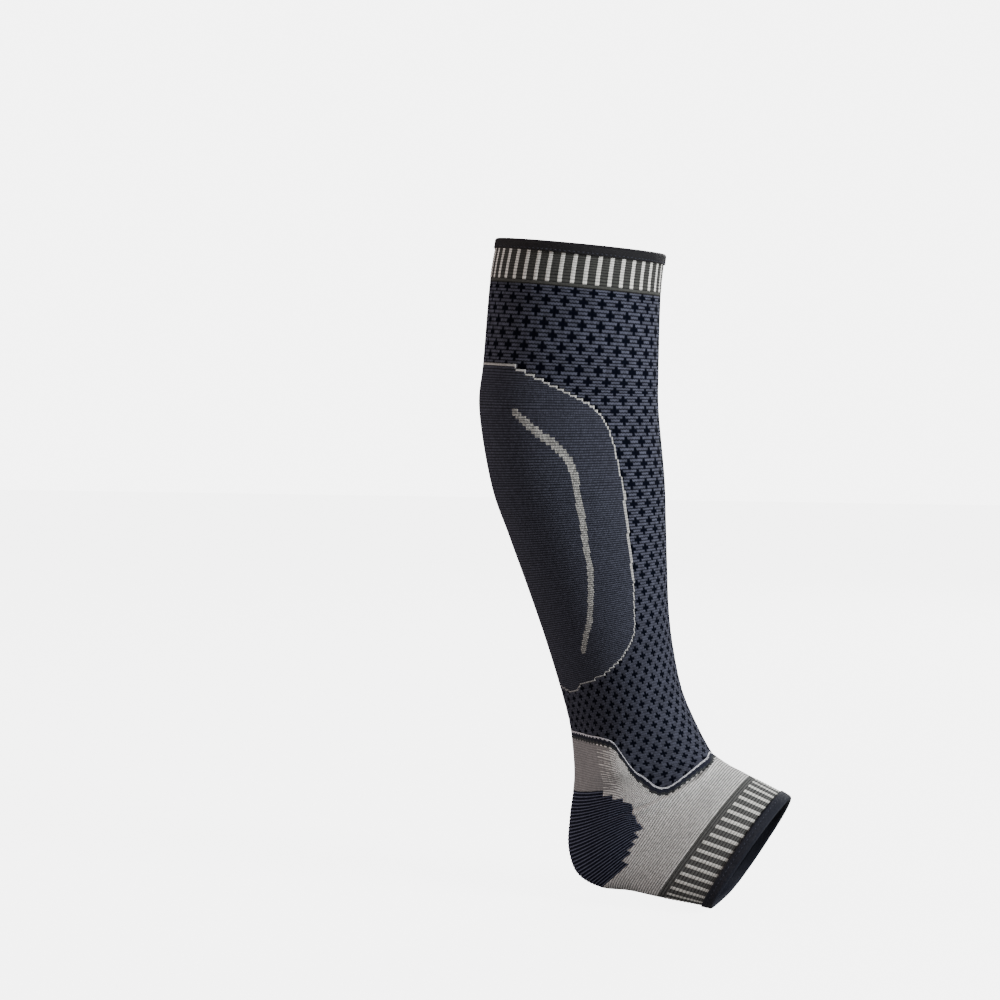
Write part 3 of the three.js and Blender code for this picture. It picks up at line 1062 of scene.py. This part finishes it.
@dataclass
class PanelOutline:
    """The calf panel's outline, with its middle turned from the back towards the outer side."""

    middle: float = 198.0
    half_angle: float = 118.0
    turns: Sequence[float] = (0, 0.28, 0.42, 0.6, 0.77, 0.88, 0.96, 1)
    tops: Sequence[float] = (2.0, 2.0, 2.02, 2.27, 2.66, 2.95, 3.4, 4.2)
    bottoms: Sequence[float] = (8.12, 8.33, 8.17, 8.13, 7.9, 7.6, 7.15, 6.1)

    def holds(self, place: Array, angle: Array) -> Array:
        """Tells which points lie inside the outline.

        Args:
            place: The points' places.
            angle: The points' angles.

        Returns:
            True for each point inside.
        """
        turn = np.abs(turned_from(angle, self.middle)) / self.half_angle
        top = read_line(self.turns, self.tops, np.minimum(turn, 1))
        bottom = read_line(self.turns, self.bottoms, np.minimum(turn, 1))
        return (turn < 1) & (place > top) & (place < bottom)


@dataclass
class ArcStripe:
    """The pale stripe that bows along each side of the calf panel, by place and turn from its middle."""

    width: float = 4.9
    places: Sequence[float] = (
        *(3.03, 3.17, 3.33, 3.47, 3.67, 3.87, 4.19),
        *(4.69, 5.4, 5.75, 6.26, 6.8, 7.14, 7.42),
    )
    turns: Sequence[float] = (54, 60, 68, 77, 84, 86, 86, 86, 84, 84, 80, 74, 66, 60)


@dataclass
class LegKnit:
    """The leg's knit with its crosses, and the plain calf panel let into it.

    section_courses is the course number at each whole place. The crosses are laid out in cells of
    cross_wales by cross_courses, and sunk is how deep they lie. The panel has panel_rows rows of cells to
    each course.
    """

    form: SleeveForm
    line: AnkleLine = field(default_factory=AnkleLine)
    outline: PanelOutline = field(default_factory=PanelOutline)
    stripe: ArcStripe = field(default_factory=ArcStripe)
    wales: int = 348
    first_course: int = 11
    last_course: int = 181
    section_courses: Sequence[float] = (
        *(0, 11, 33, 45.5, 65.5, 80, 96, 112, 128, 144.5),
        *(158.8, 170.2, 174.2, 178.4, 182.7, 187),
    )
    cross_wales: int = 12
    cross_courses: int = 6
    bar_wales: int = 6
    arm_wales: int = 2
    arm_courses: int = 3
    panel_rows: int = 2
    sunk: float = 0.2

    def place_of(self, course: Array) -> Array:
        """Gives the place of a course."""
        return np.interp(course, self.section_courses, np.arange(len(self.section_courses)))

    @cached_property
    def course(self) -> Array:
        """The course number of each row of corners."""
        return np.arange(self.first_course, self.last_course + 1, dtype=float)

    @cached_property
    def crosses(self) -> Array:
        """Tells which cells belong to a cross."""
        rows = np.arange(len(self.course) - 1)[:, None] % self.cross_courses
        wales = np.arange(self.wales)[None, :] % self.cross_wales
        half = self.cross_courses // 2
        found = np.zeros(np.broadcast(rows, wales).shape, bool)
        for down, across in ((0, 0), (half, self.cross_wales // 2)):
            row, wale = (rows - down) % self.cross_courses, (wales - across) % self.cross_wales
            in_bar = (row == self.arm_courses // 2) & (wale < self.bar_wales)
            off_arm = np.abs(wale + 0.5 - self.bar_wales / 2)
            in_arm = (row < self.arm_courses) & (off_arm < self.arm_wales / 2)
            found |= in_bar | in_arm
        return found

    def grid(self, rows_per_course: int) -> KnitGrid:
        """Makes a grid over the leg that is cut off at the ankle line.

        Args:
            rows_per_course: How many rows of cells each course has.

        Returns:
            The grid.
        """
        count = (len(self.course) - 1) * rows_per_course + 1
        course = np.linspace(self.course[0], self.course[-1], count)
        angle = np.array([np.interp(course, self.course, column) for column in self.angle.T]).T
        place = np.minimum(self.place_of(course)[:, None], self.line.at(angle))
        numbers = np.broadcast_to(course[:, None], place.shape)
        relief = self.relief if rows_per_course == 1 else np.zeros(place.shape)
        return KnitGrid(self.form, place, angle, relief, (numbers,))

    @cached_property
    def angle(self) -> Array:
        """The angle of each corner, a row for each course."""
        return self.form.even_angles(self.place_of(self.course), self.wales)

    @cached_property
    def relief(self) -> Array:
        """How far each corner of the leg's cells stands over the face: the crosses lie deeper."""
        depth = np.zeros((len(self.course), self.wales + 1))
        taken = self.in_panel | self.below
        beside = taken | np.roll(taken, 1, 0) | np.roll(taken, 1, 1) | np.roll(taken, (1, 1), (0, 1))
        depth[:-1, :-1] = np.where(self.crosses & ~beside, -self.sunk, 0.0)
        depth[:, -1] = depth[:, 0]
        depth[0] = 0
        return depth

    @cached_property
    def cell_places(self) -> tuple[Array, Array]:
        """The place and angle of each cell's middle."""
        place = self.place_of((self.course[:-1] + self.course[1:]) / 2)[:, None]
        return np.broadcast_arrays(place, (self.angle[:-1, :-1] + self.angle[1:, 1:]) / 2)

    @cached_property
    def in_panel(self) -> Array:
        """Tells which cells belong to the calf panel."""
        return self.outline.holds(*self.cell_places)

    @cached_property
    def below(self) -> Array:
        """Tells which cells lie wholly below the ankle line."""
        over = self.place_of(self.course)[:-1, None] >= self.line.at(self.angle[:-1])
        return over[:, :-1] & over[:, 1:]

    def edge_cells(self, cells: Array, reach: int) -> Array:
        """Tells which cells of the panel lie near its edge.

        Args:
            cells: The panel's cells.
            reach: How many cells in from the edge.

        Returns:
            True for each cell near the edge.
        """
        inner = cells.copy()
        for _ in range(reach):
            beside = np.roll(inner, 1, 1) & np.roll(inner, -1, 1)
            inner &= beside & np.roll(inner, 1, 0) & np.roll(inner, -1, 0)
        return cells & ~inner

    def stripe_cells(self) -> Array:
        """Finds the arc stripes' cells, with the calf's cloth laid flat.

        Returns:
            True for each cell of a stripe.
        """
        place, angle = self.cell_places
        degree_width = math.pi * (self.form.calf_depth + self.form.calf_width) / 2 / FULL_TURN
        course_rise = self.form.leg_rise / self.section_courses[station("throat")]
        whole_places = np.arange(len(self.section_courses))
        across = np.abs(turned_from(angle, self.outline.middle)) * degree_width
        down = np.interp(place, whole_places, self.section_courses) * course_rise
        stripe_across = np.array(self.stripe.turns) * degree_width
        stripe_down = np.interp(self.stripe.places, whole_places, self.section_courses) * course_rise
        points = np.stack((stripe_across, stripe_down), axis=1)
        found = np.zeros(place.shape, bool)
        for start, end in zip(points[:-1], points[1:]):
            span = end - start
            x, y = across - start[0], down - start[1]
            share = np.clip((x * span[0] + y * span[1]) / (span @ span), 0, 1)
            found |= np.hypot(x - share * span[0], y - share * span[1]) < self.stripe.width / 2
        return found & self.in_panel

    def build(self, palette: Palette) -> list[bpy.types.Object]:
        """Builds the leg's knit and the calf panel.

        Args:
            palette: The finishes.

        Returns:
            The two pieces.
        """
        leg = np.where(self.crosses, Thread.FIGURE, Thread.GROUND)
        leg[self.in_panel | self.below] = Thread.NONE
        cells, stripe, place = (
            np.repeat(values, self.panel_rows, axis=0)
            for values in (self.in_panel, self.stripe_cells(), self.cell_places[0])
        )
        panel = np.where(stripe, Thread.FIGURE, Thread.GROUND)
        upright = (place > self.outline.tops[-1]) & (place < self.outline.bottoms[-1])
        panel[self.edge_cells(cells, 1) | (self.edge_cells(cells, 2) & upright)] = Thread.LINE
        panel[~cells] = Thread.NONE
        leg_yarns = [palette.of(yarn) for yarn in (SLATE, CROSS_NAVY, INSIDE)]
        panel_yarns = [palette.of(yarn) for yarn in (PANEL_NAVY, ARC_SILVER, PANEL_LINE, INSIDE)]
        return [
            self.grid(1).piece("leg_knit_cloth", leg, leg_yarns),
            self.grid(self.panel_rows).piece("calf_panel_cloth", panel, panel_yarns),
        ]


@dataclass(frozen=True)
class HeelStep:
    """A run of the heel pocket's ribs that reach equally far, in wales each side of the heel's middle."""

    ribs: int
    reach: int


HEEL_STEPS = (
    HeelStep(ribs=2, reach=48),
    HeelStep(ribs=2, reach=56),
    HeelStep(ribs=2, reach=64),
    HeelStep(ribs=6, reach=70),
    HeelStep(ribs=5, reach=71),
    HeelStep(ribs=4, reach=72),
    HeelStep(ribs=3, reach=67),
    HeelStep(ribs=2, reach=62),
    HeelStep(ribs=2, reach=56),
    HeelStep(ribs=3, reach=48),
)


def inner_corners(cells: Array) -> Array:
    """Finds the corners that lie inside a set of cells.

    Args:
        cells: True for each cell of the set.

    Returns:
        True for each corner of the grid with cells of the set on all four sides.
    """
    rows = np.pad(cells, ((1, 1), (0, 0)))
    ring = np.hstack((rows[:, -1:], rows, rows[:, :1]))
    return ring[:-1, :-1] & ring[1:, :-1] & ring[:-1, 1:] & ring[1:, 1:]


@dataclass
class AnkleKnit:
    """The pale knit of ankle and instep, with its dark band under the ankle line, and the heel pocket.

    rib is the width of the ankle's ribs, and line_width, navy_width and charcoal_width reach down from
    the ankle line to the ends of the band's three colours, all in millimetres. bead and jag are how far
    each second pair of wales reaches further. tendon_wales and tendon_ribs bound the part behind the
    ankle whose ribs lie level. The smooth knit behind the ankle takes a darker yarn, partly that knit's own
    smoother yarn and partly painted shade of the back of the ankle, and tendon_shade_fade is by how many
    wales a rib's rows run into that smooth, painted-shade back. The crease lies across the throat with a
    raised lip under it.
    """

    form: SleeveForm
    line: AnkleLine = field(default_factory=AnkleLine)
    wales: int = 280
    rows: int = 189
    rib: float = 1.7
    rib_rows: int = 3
    rib_depth: float = 0.35
    heel_start: int = 16
    line_width: float = 1.05
    navy_width: float = 3.6
    charcoal_width: float = 5.4
    bead: float = 0.3
    jag: float = 0.8
    tendon_wales: int = 70
    tendon_ribs: int = 22
    tendon_shade_fade: int = 6
    crease_places: Sequence[float] = (12.55, 13.58, 13.82, 13.8, 13.75, 13.65)
    crease_angles: Sequence[float] = (20, 40, 57, 72, 86, 99)
    crease_middle: float = 13.7
    crease_depth: float = 1.6
    crease_reach: float = 1.4
    crease_start: float = 14.0
    crease_deepens: float = 12.0
    crease_end: float = 108.0
    crease_fades: float = 14.0
    lip_rise: float = 0.8
    lip_offset: float = 2.6
    lip_reach: float = 2.2

    @cached_property
    def top(self) -> float:
        """The ankle line's place at the back."""
        return float(self.line.at(np.array(HALF_TURN)))

    @cached_property
    def share(self) -> Array:
        """How far each row lies from the ankle line to the foot band, evenly spaced down the heel."""
        end = station("foot band")
        probe = np.linspace(self.top, end, self.form.girth_steps)
        length = lengths_down(self.form.face(probe, np.full_like(probe, HALF_TURN)))
        even = np.linspace(0, length[-1], self.rows + 1)
        return np.interp(even, length, (probe - self.top) / (end - self.top))

    @cached_property
    def angle(self) -> Array:
        """The angle of each corner."""
        return self.form.even_angles(self.top + (station("foot band") - self.top) * self.share, self.wales)

    @cached_property
    def place(self) -> Array:
        """The place of each corner."""
        line = self.line.at(self.angle)
        return line + (station("foot band") - line) * self.share[:, None]

    @cached_property
    def distances(self) -> tuple[Array, Array]:
        """The length of cloth from each corner up to the ankle line and down to the foot band."""
        down = lengths_down(self.form.face(self.place, self.angle))
        return down, down[-1] - down

    @cached_property
    def from_middle(self) -> Array:
        """How many wales each wale lies from the heel's middle."""
        return np.abs(np.arange(self.wales) + 0.5 - self.wales / 2)[None, :]

    @cached_property
    def in_heel(self) -> Array:
        """Tells which cells belong to the heel pocket."""
        reach = np.zeros(self.rows // self.rib_rows)
        start = self.heel_start
        for step in HEEL_STEPS:
            reach[start : start + step.ribs] = step.reach
            start += step.ribs
        return self.from_middle < np.repeat(reach, self.rib_rows)[:, None]

    @cached_property
    def relief(self) -> Array:
        """How far each corner stands over the face: the heel's ribs and the crease at the throat."""
        from_shin = np.abs(turned_from(self.angle, 0))
        crease = np.interp(from_shin, self.crease_angles, self.crease_places)
        starts = np.clip((from_shin - self.crease_start) / self.crease_deepens, 0, 1)
        ends = np.clip((self.crease_end - from_shin) / self.crease_fades, 0, 1)
        off = (self.place - crease) * self.form.stretch_along(self.crease_middle, self.angle)
        hollow = np.exp(-((off / self.crease_reach) ** 2))
        lip = self.lip_rise * np.exp(-(((off - self.lip_offset) / self.lip_reach) ** 2))
        clear = np.clip(self.distances[0] / self.charcoal_width, 0, 1)
        relief = self.crease_depth * starts * ends * (lip - hollow) * clear
        groove = (np.arange(self.rows + 1) % self.rib_rows == 0)[:, None]
        return relief + np.where(inner_corners(self.in_heel) & groove, -self.rib_depth, 0.0)

    @cached_property
    def grid(self) -> KnitGrid:
        """The ankle's grid, with ribs counted from the ankle line, the foot band or along the heel."""
        from_line, from_band = self.distances
        heel_rows = np.broadcast_to(np.arange(self.rows + 1)[:, None] / self.rib_rows, self.place.shape)
        courses = (from_line / self.rib, from_band / self.rib, heel_rows)
        return KnitGrid(self.form, self.place, self.angle, self.relief, courses)

    def build(self, palette: Palette) -> list[bpy.types.Object]:
        """Builds the ankle's knit and the heel pocket.

        Args:
            palette: The finishes.

        Returns:
            The two pieces.
        """
        shape = (self.rows, self.wales)
        down = (self.distances[0][:-1, :-1] + self.distances[0][1:, 1:]) / 2
        uneven = (np.arange(self.wales)[None, :] // 2) % 2
        ankle = np.full(shape, int(Thread.GROUND))
        row = np.broadcast_to(np.arange(self.rows)[:, None], shape)
        # Behind the ankle the smooth knit takes the darker, partly painted-shade yarn; its edge steps out
        # row by row, so the painted shade runs into the ribs.
        painted_shade_reach = HEEL_STEPS[0].reach + self.tendon_shade_fade * (row % self.rib_rows)
        ankle[(self.from_middle < painted_shade_reach) & (row < self.heel_start * self.rib_rows)] = Thread.SMOOTH
        ankle[down < self.charcoal_width + self.jag * uneven] = Thread.SHADOW
        ankle[down < self.navy_width + self.jag * uneven] = Thread.LINE
        ankle[down < self.line_width + self.bead * uneven] = Thread.FIGURE
        ankle[self.in_heel] = Thread.NONE
        # The middle row of each rib takes the lit copy of the heel navy: painted highlight on the rib's
        # crest.
        heel = np.where(row % self.rib_rows == 1, Thread.FIGURE, Thread.GROUND)
        heel[~self.in_heel] = Thread.NONE
        tendon = (self.from_middle < self.tendon_wales) & (row < self.tendon_ribs * self.rib_rows)
        layer = np.where(tendon, 0, 1)
        ankle_yarns = [
            palette.of(yarn)
            for yarn in (ANKLE_GREY, LINE_SILVER, BAND_NAVY, BAND_CHARCOAL, TENDON_PAINTED_SHADE_GREY, INSIDE_PALE)
        ]
        heel_yarns = [palette.of(yarn) for yarn in (HEEL_NAVY, HEEL_RIB_PAINTED_HIGHLIGHT, INSIDE)]
        return [
            self.grid.piece("ankle_knit_cloth", ankle, ankle_yarns, layer),
            self.grid.piece("heel_pocket_cloth", heel, heel_yarns, np.full(shape, 2)),
        ]


@dataclass
class StripedBand:
    """A band with pale stripes along the sleeve, such as the cuff or the foot band.

    plain_start and plain_end are the lengths left without stripes, and raised is how far each course of a
    stripe stands up, in millimetres. A stripe and its gap take stripe_wales wales, of which pale_wales
    are pale.
    """

    form: SleeveForm
    name: str
    start: str
    end: str
    stripes: int
    plain_start: float
    plain_end: float
    ground: Yarn = CUFF_GREY
    stripe_wales: int = 9
    pale_wales: int = 3
    courses: int = 20
    rows_per_course: int = 2
    raised: float = 0.35

    def build(self, palette: Palette) -> list[bpy.types.Object]:
        """Builds the band.

        Args:
            palette: The finishes.

        Returns:
            The one piece.
        """
        wales, rows = self.stripes * self.stripe_wales, self.courses * self.rows_per_course
        places = np.linspace(station(self.start), station(self.end), rows + 1)
        angle = self.form.even_angles(places, wales)
        place = np.broadcast_to(places[:, None], angle.shape)
        down = lengths_down(self.form.face(place, angle))
        middle = (down[:-1, :-1] + down[1:, 1:]) / 2
        pale = np.arange(wales)[None, :] % self.stripe_wales < self.pale_wales
        striped = pale & (middle > self.plain_start) & (middle < down[-1, :-1][None, :] - self.plain_end)
        crowns = (np.arange(rows) % self.rows_per_course == 1)[:, None]
        relief = np.zeros(place.shape)
        relief[:-1, :-1] = np.where(striped & np.roll(striped, 1, 1) & crowns, self.raised, 0)
        relief[:, -1] = relief[:, 0]
        numbers = np.broadcast_to(np.arange(rows + 1)[:, None] / self.rows_per_course, place.shape)
        grid = KnitGrid(self.form, place, angle, relief, (numbers,))
        chart = np.where(striped, Thread.FIGURE, Thread.GROUND)
        yarns = [palette.of(yarn) for yarn in (self.ground, SILVER, INSIDE)]
        return [grid.piece(self.name, chart, yarns)]


class Inward(IntEnum):
    """Which way the sleeve lies from an open edge: down from the top edge, or up from the front."""

    DOWN = 1
    UP = -1


def read_path(values: Array, length: Array, at: float) -> Vector:
    """Reads values that were taken along a path, at a length along it."""
    return Vector([float(np.interp(at, length, column)) for column in values.T])


@dataclass
class Binding:
    """A tape folded over an open edge of the sleeve, held by a row of stitches.

    Lengths are in millimetres. cover is how far the tape reaches from the edge, gap its distance from the
    knit and dimple how far the stitches pull it in. stitch_back and dimple_reach are shares of cover, and
    stitch_probes are shares of a stitch's pitch, where its start, middle and end are read.
    """

    form: SleeveForm
    name: str
    edge: str
    inward: Inward
    cover: float
    finish: TapeFinish
    wall: float = 0.8
    gap: float = 0.3
    around: int = 260
    flat_rows: int = 7
    fold_rows: int = 10
    stitch_length: float = 2.3
    stitch_pitch: float = 3.2
    stitch_width: float = 0.35
    stitch_back: float = 0.72
    stitch_probes: tuple[float, float, float] = (0.4, 0.5, 0.6)
    dimple: float = 0.18
    dimple_reach: float = 0.18

    def section(self) -> list[tuple[float, float]]:
        """Works out the tape's folded section.

        Returns:
            Its points, each as the distance back from the edge and the depth under the outer face.
        """
        middle, radius = self.form.knit_wall / 2, self.form.knit_wall / 2 + self.gap + self.wall / 2
        flat = [self.cover * (1 - i / self.flat_rows) for i in range(self.flat_rows)]
        fold = [math.pi * i / self.fold_rows for i in range(self.fold_rows + 1)]
        outside = [(back, middle - radius + self.sink(back)) for back in flat]
        round_edge = [(-radius * math.sin(turn), middle - radius * math.cos(turn)) for turn in fold]
        inside = [(back, middle + radius) for back in reversed(flat)]
        return outside + round_edge + inside

    def sink(self, back: float) -> float:
        """Gives how far the row of stitches pulls the tape in."""
        off = (back - self.stitch_back * self.cover) / (self.dimple_reach * self.cover)
        return self.dimple * math.exp(-off * off)

    def build(self, palette: Palette) -> list[bpy.types.Object]:
        """Builds the tape and its stitches.

        Args:
            palette: The finishes.

        Returns:
            The two pieces.
        """
        section = self.section()
        rows = len(section) - 1
        angles = np.linspace(0, FULL_TURN, self.around + 1)
        edge = station(self.edge)
        stretch = self.form.stretch_along(edge, angles)
        bm = bmesh.new()
        uv = bm.loops.layers.uv.new(KNIT_UV)
        bmesh.ops.create_grid(bm, x_segments=self.around, y_segments=rows, size=0.5)
        back, depth = (np.array(values)[:, None] for values in zip(*section))
        place = edge + self.inward * back / stretch[None, :]
        points = self.form.cloth(place, angles[None, :], -np.broadcast_to(depth, place.shape)) * MM
        for face in bm.faces:
            face.smooth = True
            for loop in face.loops:
                row, column = self.corner_at(loop.vert.co, rows)
                loop[uv].uv = (column, row)
        for vert in bm.verts:
            vert.co = Vector(points[self.corner_at(vert.co, rows)])
        bmesh.ops.remove_doubles(bm, verts=bm.verts, dist=MERGE_DISTANCE)
        bmesh.ops.recalc_face_normals(bm, faces=bm.faces)
        piece = finish_mesh(self.name, bm, [palette.of(self.finish)])
        wall = piece.modifiers.new("tape wall", "SOLIDIFY")
        wall.thickness = self.wall * MM
        wall.offset = 0.0
        return [piece, self.stitches(palette)]

    def corner_at(self, point: Vector, rows: int) -> tuple[int, int]:
        """Gives the row and column of a point of the flat grid."""
        return round((0.5 + point.y) * rows), round((0.5 + point.x) * self.around)

    def stitches(self, palette: Palette) -> bpy.types.Object:
        """Builds the row of stitches along the tape.

        Args:
            palette: The finishes.

        Returns:
            The stitches, as one piece.
        """
        edge = station(self.edge)
        probe = np.linspace(0, FULL_TURN, self.form.girth_steps + 1)
        back = self.stitch_back * self.cover
        place = edge + self.inward * back / self.form.stretch_along(edge, probe)
        height = self.gap + self.wall - self.dimple
        seam = self.form.cloth(place, probe, height)
        outward = self.form.cloth(place, probe, height + 1.0) - seam
        length = lengths_down(seam)
        count = round(length[-1] / self.stitch_pitch)
        bm = bmesh.new()
        bm.loops.layers.uv.new(KNIT_UV)
        for i in range(count):
            at = [length[-1] * (i + share) / count for share in self.stitch_probes]
            before, middle, after = (read_path(seam, length, value) for value in at)
            up = read_path(outward, length, at[1]).normalized()
            run = (after - before).normalized()
            side = up.cross(run).normalized()
            turned = Matrix((run, side, run.cross(side).normalized())).transposed().to_4x4()
            scale = Matrix.Diagonal((self.stitch_length / 2, self.stitch_width, self.stitch_width, 1.0))
            matrix = Matrix.Translation(middle) @ turned @ scale
            bmesh.ops.create_icosphere(bm, subdivisions=1, radius=1.0, matrix=matrix)
        bmesh.ops.scale(bm, vec=(MM, MM, MM), verts=bm.verts)
        for face in bm.faces:
            face.smooth = True
        return finish_mesh(self.name.replace("tape", "stitches"), bm, [palette.of(SEAM_THREAD)])


# Stage


@dataclass(frozen=True)
class Lamp:
    """A soft square light that faces a point. place, aim and size are in metres and power is in watts."""

    name: str
    place: tuple[float, float, float]
    size: float
    power: float
    color: tuple[float, float, float] = (1.0, 1.0, 1.0)
    aim: tuple[float, float, float] = (0.0, 0.0, 0.12)

    def build(self) -> None:
        """Adds the light."""
        light = bpy.data.lights.new(self.name, "AREA")
        light.size = self.size
        light.energy = self.power
        light.color = self.color
        lamp = bpy.data.objects.new(self.name, light)
        lamp.location = self.place
        lamp.rotation_euler = (Vector(self.aim) - Vector(self.place)).to_track_quat("-Z", "Y").to_euler()
        bpy.context.scene.collection.objects.link(lamp)


@dataclass(frozen=True)
class Studio:
    """The pale floor, the lights and the camera at the photograph's viewing angle.

    Lengths are in metres and angles in degrees. ambient is the sky's light on the sleeve, and backdrop
    and floor_glow are how bright the sky and the floor show.
    """

    floor_size: float = 12.0
    floor_drop: float = 0.0015
    floor_tone: tuple[float, float, float, float] = (0.3, 0.3, 0.3, 1.0)
    floor_roughness: float = 0.9
    floor_glow: float = 5.4
    glow_color: tuple[float, float, float, float] = (1.0, 1.0, 1.0, 1.0)
    ambient: float = 0.09
    backdrop: float = 6.0
    camera_place: tuple[float, float, float] = (0.4249, -1.4841, 0.2445)
    camera_pitch: float = 2.58
    camera_yaw: float = 19.64
    camera_lens: float = 79.8
    lamps: tuple[Lamp, ...] = (
        Lamp("key light", (2.3, -0.5, 1.0), 0.9, 158.0),
        Lamp("fill light", (0.5, -2.4, 1.2), 1.6, 7.0),
        Lamp("inner light", (0.3, 2.2, 1.2), 1.4, 50.0),
        Lamp("back light", (-1.7, -0.6, 0.5), 0.8, 25.0, (1.0, 0.83, 0.79)),
    )

    def build(self, lowest: float) -> None:
        """Sets the stage round the sleeve.

        Args:
            lowest: The height of the sleeve's lowest point.
        """
        self.lay_floor(lowest)
        for lamp in self.lamps:
            lamp.build()
        self.hang_sky()
        self.place_camera()

    def lay_floor(self, lowest: float) -> None:
        """Lays the floor just under the sleeve.

        Args:
            lowest: The height of the sleeve's lowest point.
        """
        bm = bmesh.new()
        bmesh.ops.create_grid(bm, x_segments=1, y_segments=1, size=self.floor_size / 2)
        bmesh.ops.translate(bm, verts=bm.verts, vec=(0, 0, lowest - self.floor_drop))
        pale = bpy.data.materials.new("pale floor")
        pale.use_nodes = True
        shader = pale.node_tree.nodes["Principled BSDF"]
        shader.inputs["Base Color"].default_value = self.floor_tone
        shader.inputs["Roughness"].default_value = self.floor_roughness
        shader.inputs["Emission Color"].default_value = self.glow_color
        seen = pale.node_tree.nodes.new("ShaderNodeLightPath")
        glow = pale.node_tree.nodes.new("ShaderNodeMath")
        glow.operation = "MULTIPLY"
        glow.inputs[1].default_value = self.floor_glow
        pale.node_tree.links.new(seen.outputs["Is Camera Ray"], glow.inputs[0])
        pale.node_tree.links.new(glow.outputs[0], shader.inputs["Emission Strength"])
        floor = finish_mesh("floor", bm, [pale])
        floor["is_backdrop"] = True

    def hang_sky(self) -> None:
        """Makes the sky, which lights the sleeve softly and shows as a pale backdrop."""
        world = bpy.data.worlds.new("studio")
        world.use_nodes = True
        sky = world.node_tree
        background = sky.nodes["Background"]
        background.inputs["Color"].default_value = self.glow_color
        seen = sky.nodes.new("ShaderNodeLightPath")
        level = sky.nodes.new("ShaderNodeMapRange")
        level.inputs["To Min"].default_value = self.ambient
        level.inputs["To Max"].default_value = self.backdrop
        sky.links.new(seen.outputs["Is Camera Ray"], level.inputs["Value"])
        sky.links.new(level.outputs[0], background.inputs["Strength"])
        bpy.context.scene.world = world

    def place_camera(self) -> None:
        """Places the camera."""
        camera = bpy.data.objects.new("camera", bpy.data.cameras.new("camera"))
        camera.data.lens = self.camera_lens
        camera.location = self.camera_place
        camera.rotation_euler = (math.radians(90 - self.camera_pitch), 0, math.radians(self.camera_yaw))
        bpy.context.scene.collection.objects.link(camera)
        bpy.context.scene.camera = camera


# The whole sleeve


@dataclass(frozen=True)
class FlatCut:
    """A knitted zone laid flat and relaxed: its width round the leg, length and area in metres.

    carries names the pieces that are sewn to it.
    """

    width: float
    length: float
    area: float
    carries: tuple[str, ...] = ()


@dataclass(frozen=True)
class Fitting:
    """The name of the record's material slot for a piece, and the CAD node that it stands for."""

    slot: str
    node: str | None = None


FITTINGS = {
    "top_binding_tape": Fitting("binding", "top_binding"),
    "top_binding_stitches": Fitting("binding"),
    "cuff_band_cloth": Fitting("striped_band", "cuff_band"),
    "leg_knit_cloth": Fitting("leg_knit", "leg_knit"),
    "calf_panel_cloth": Fitting("calf_panel", "calf_panel"),
    "ankle_knit_cloth": Fitting("ankle_knit", "ankle_knit"),
    "heel_pocket_cloth": Fitting("heel_pocket", "heel_pocket"),
    "foot_band_cloth": Fitting("striped_band", "foot_band"),
    "foot_binding_tape": Fitting("binding", "foot_binding"),
    "foot_binding_stitches": Fitting("binding"),
}


def make_parts(form: SleeveForm) -> tuple[Binding | StripedBand | LegKnit | AnkleKnit, ...]:
    """Makes the sleeve's sub-assemblies.

    Args:
        form: The sleeve's form, which they share.

    Returns:
        The sub-assemblies, from the top edge to the front edge.
    """
    cuff = StripedBand(
        form,
        "cuff_band_cloth",
        start="top edge",
        end="cuff end",
        stripes=43,
        plain_start=0.0,
        plain_end=2.4,
        courses=15,
    )
    foot = StripedBand(
        form,
        "foot_band_cloth",
        start="foot band",
        end="front edge",
        stripes=45,
        plain_start=5.0,
        plain_end=0.0,
        ground=FOOT_GREY,
        stripe_wales=8,
        courses=26,
    )
    return (
        Binding(form, "top_binding_tape", "top edge", Inward.DOWN, cover=6.0, finish=BLACK_TAPE),
        cuff,
        LegKnit(form),
        AnkleKnit(form),
        foot,
        Binding(form, "foot_binding_tape", "front edge", Inward.UP, cover=6.2, finish=NAVY_TAPE),
    )


def main() -> None:
    """Builds the sleeve and its stage."""
    logging.basicConfig(level=logging.INFO, format="%(name)s: %(message)s")
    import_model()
    palette = Palette()
    for part in make_parts(SleeveForm()):
        for piece in part.build(palette):
            fitting = FITTINGS[piece.name]
            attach(piece, "root")
            if fitting.node is not None:
                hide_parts(fitting.node)
            log.info("%s: %d faces", piece.name, len(piece.data.polygons))
    bpy.context.view_layer.update()
    Studio().build(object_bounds()[0][2])


if __name__ == "__main__":
    main()
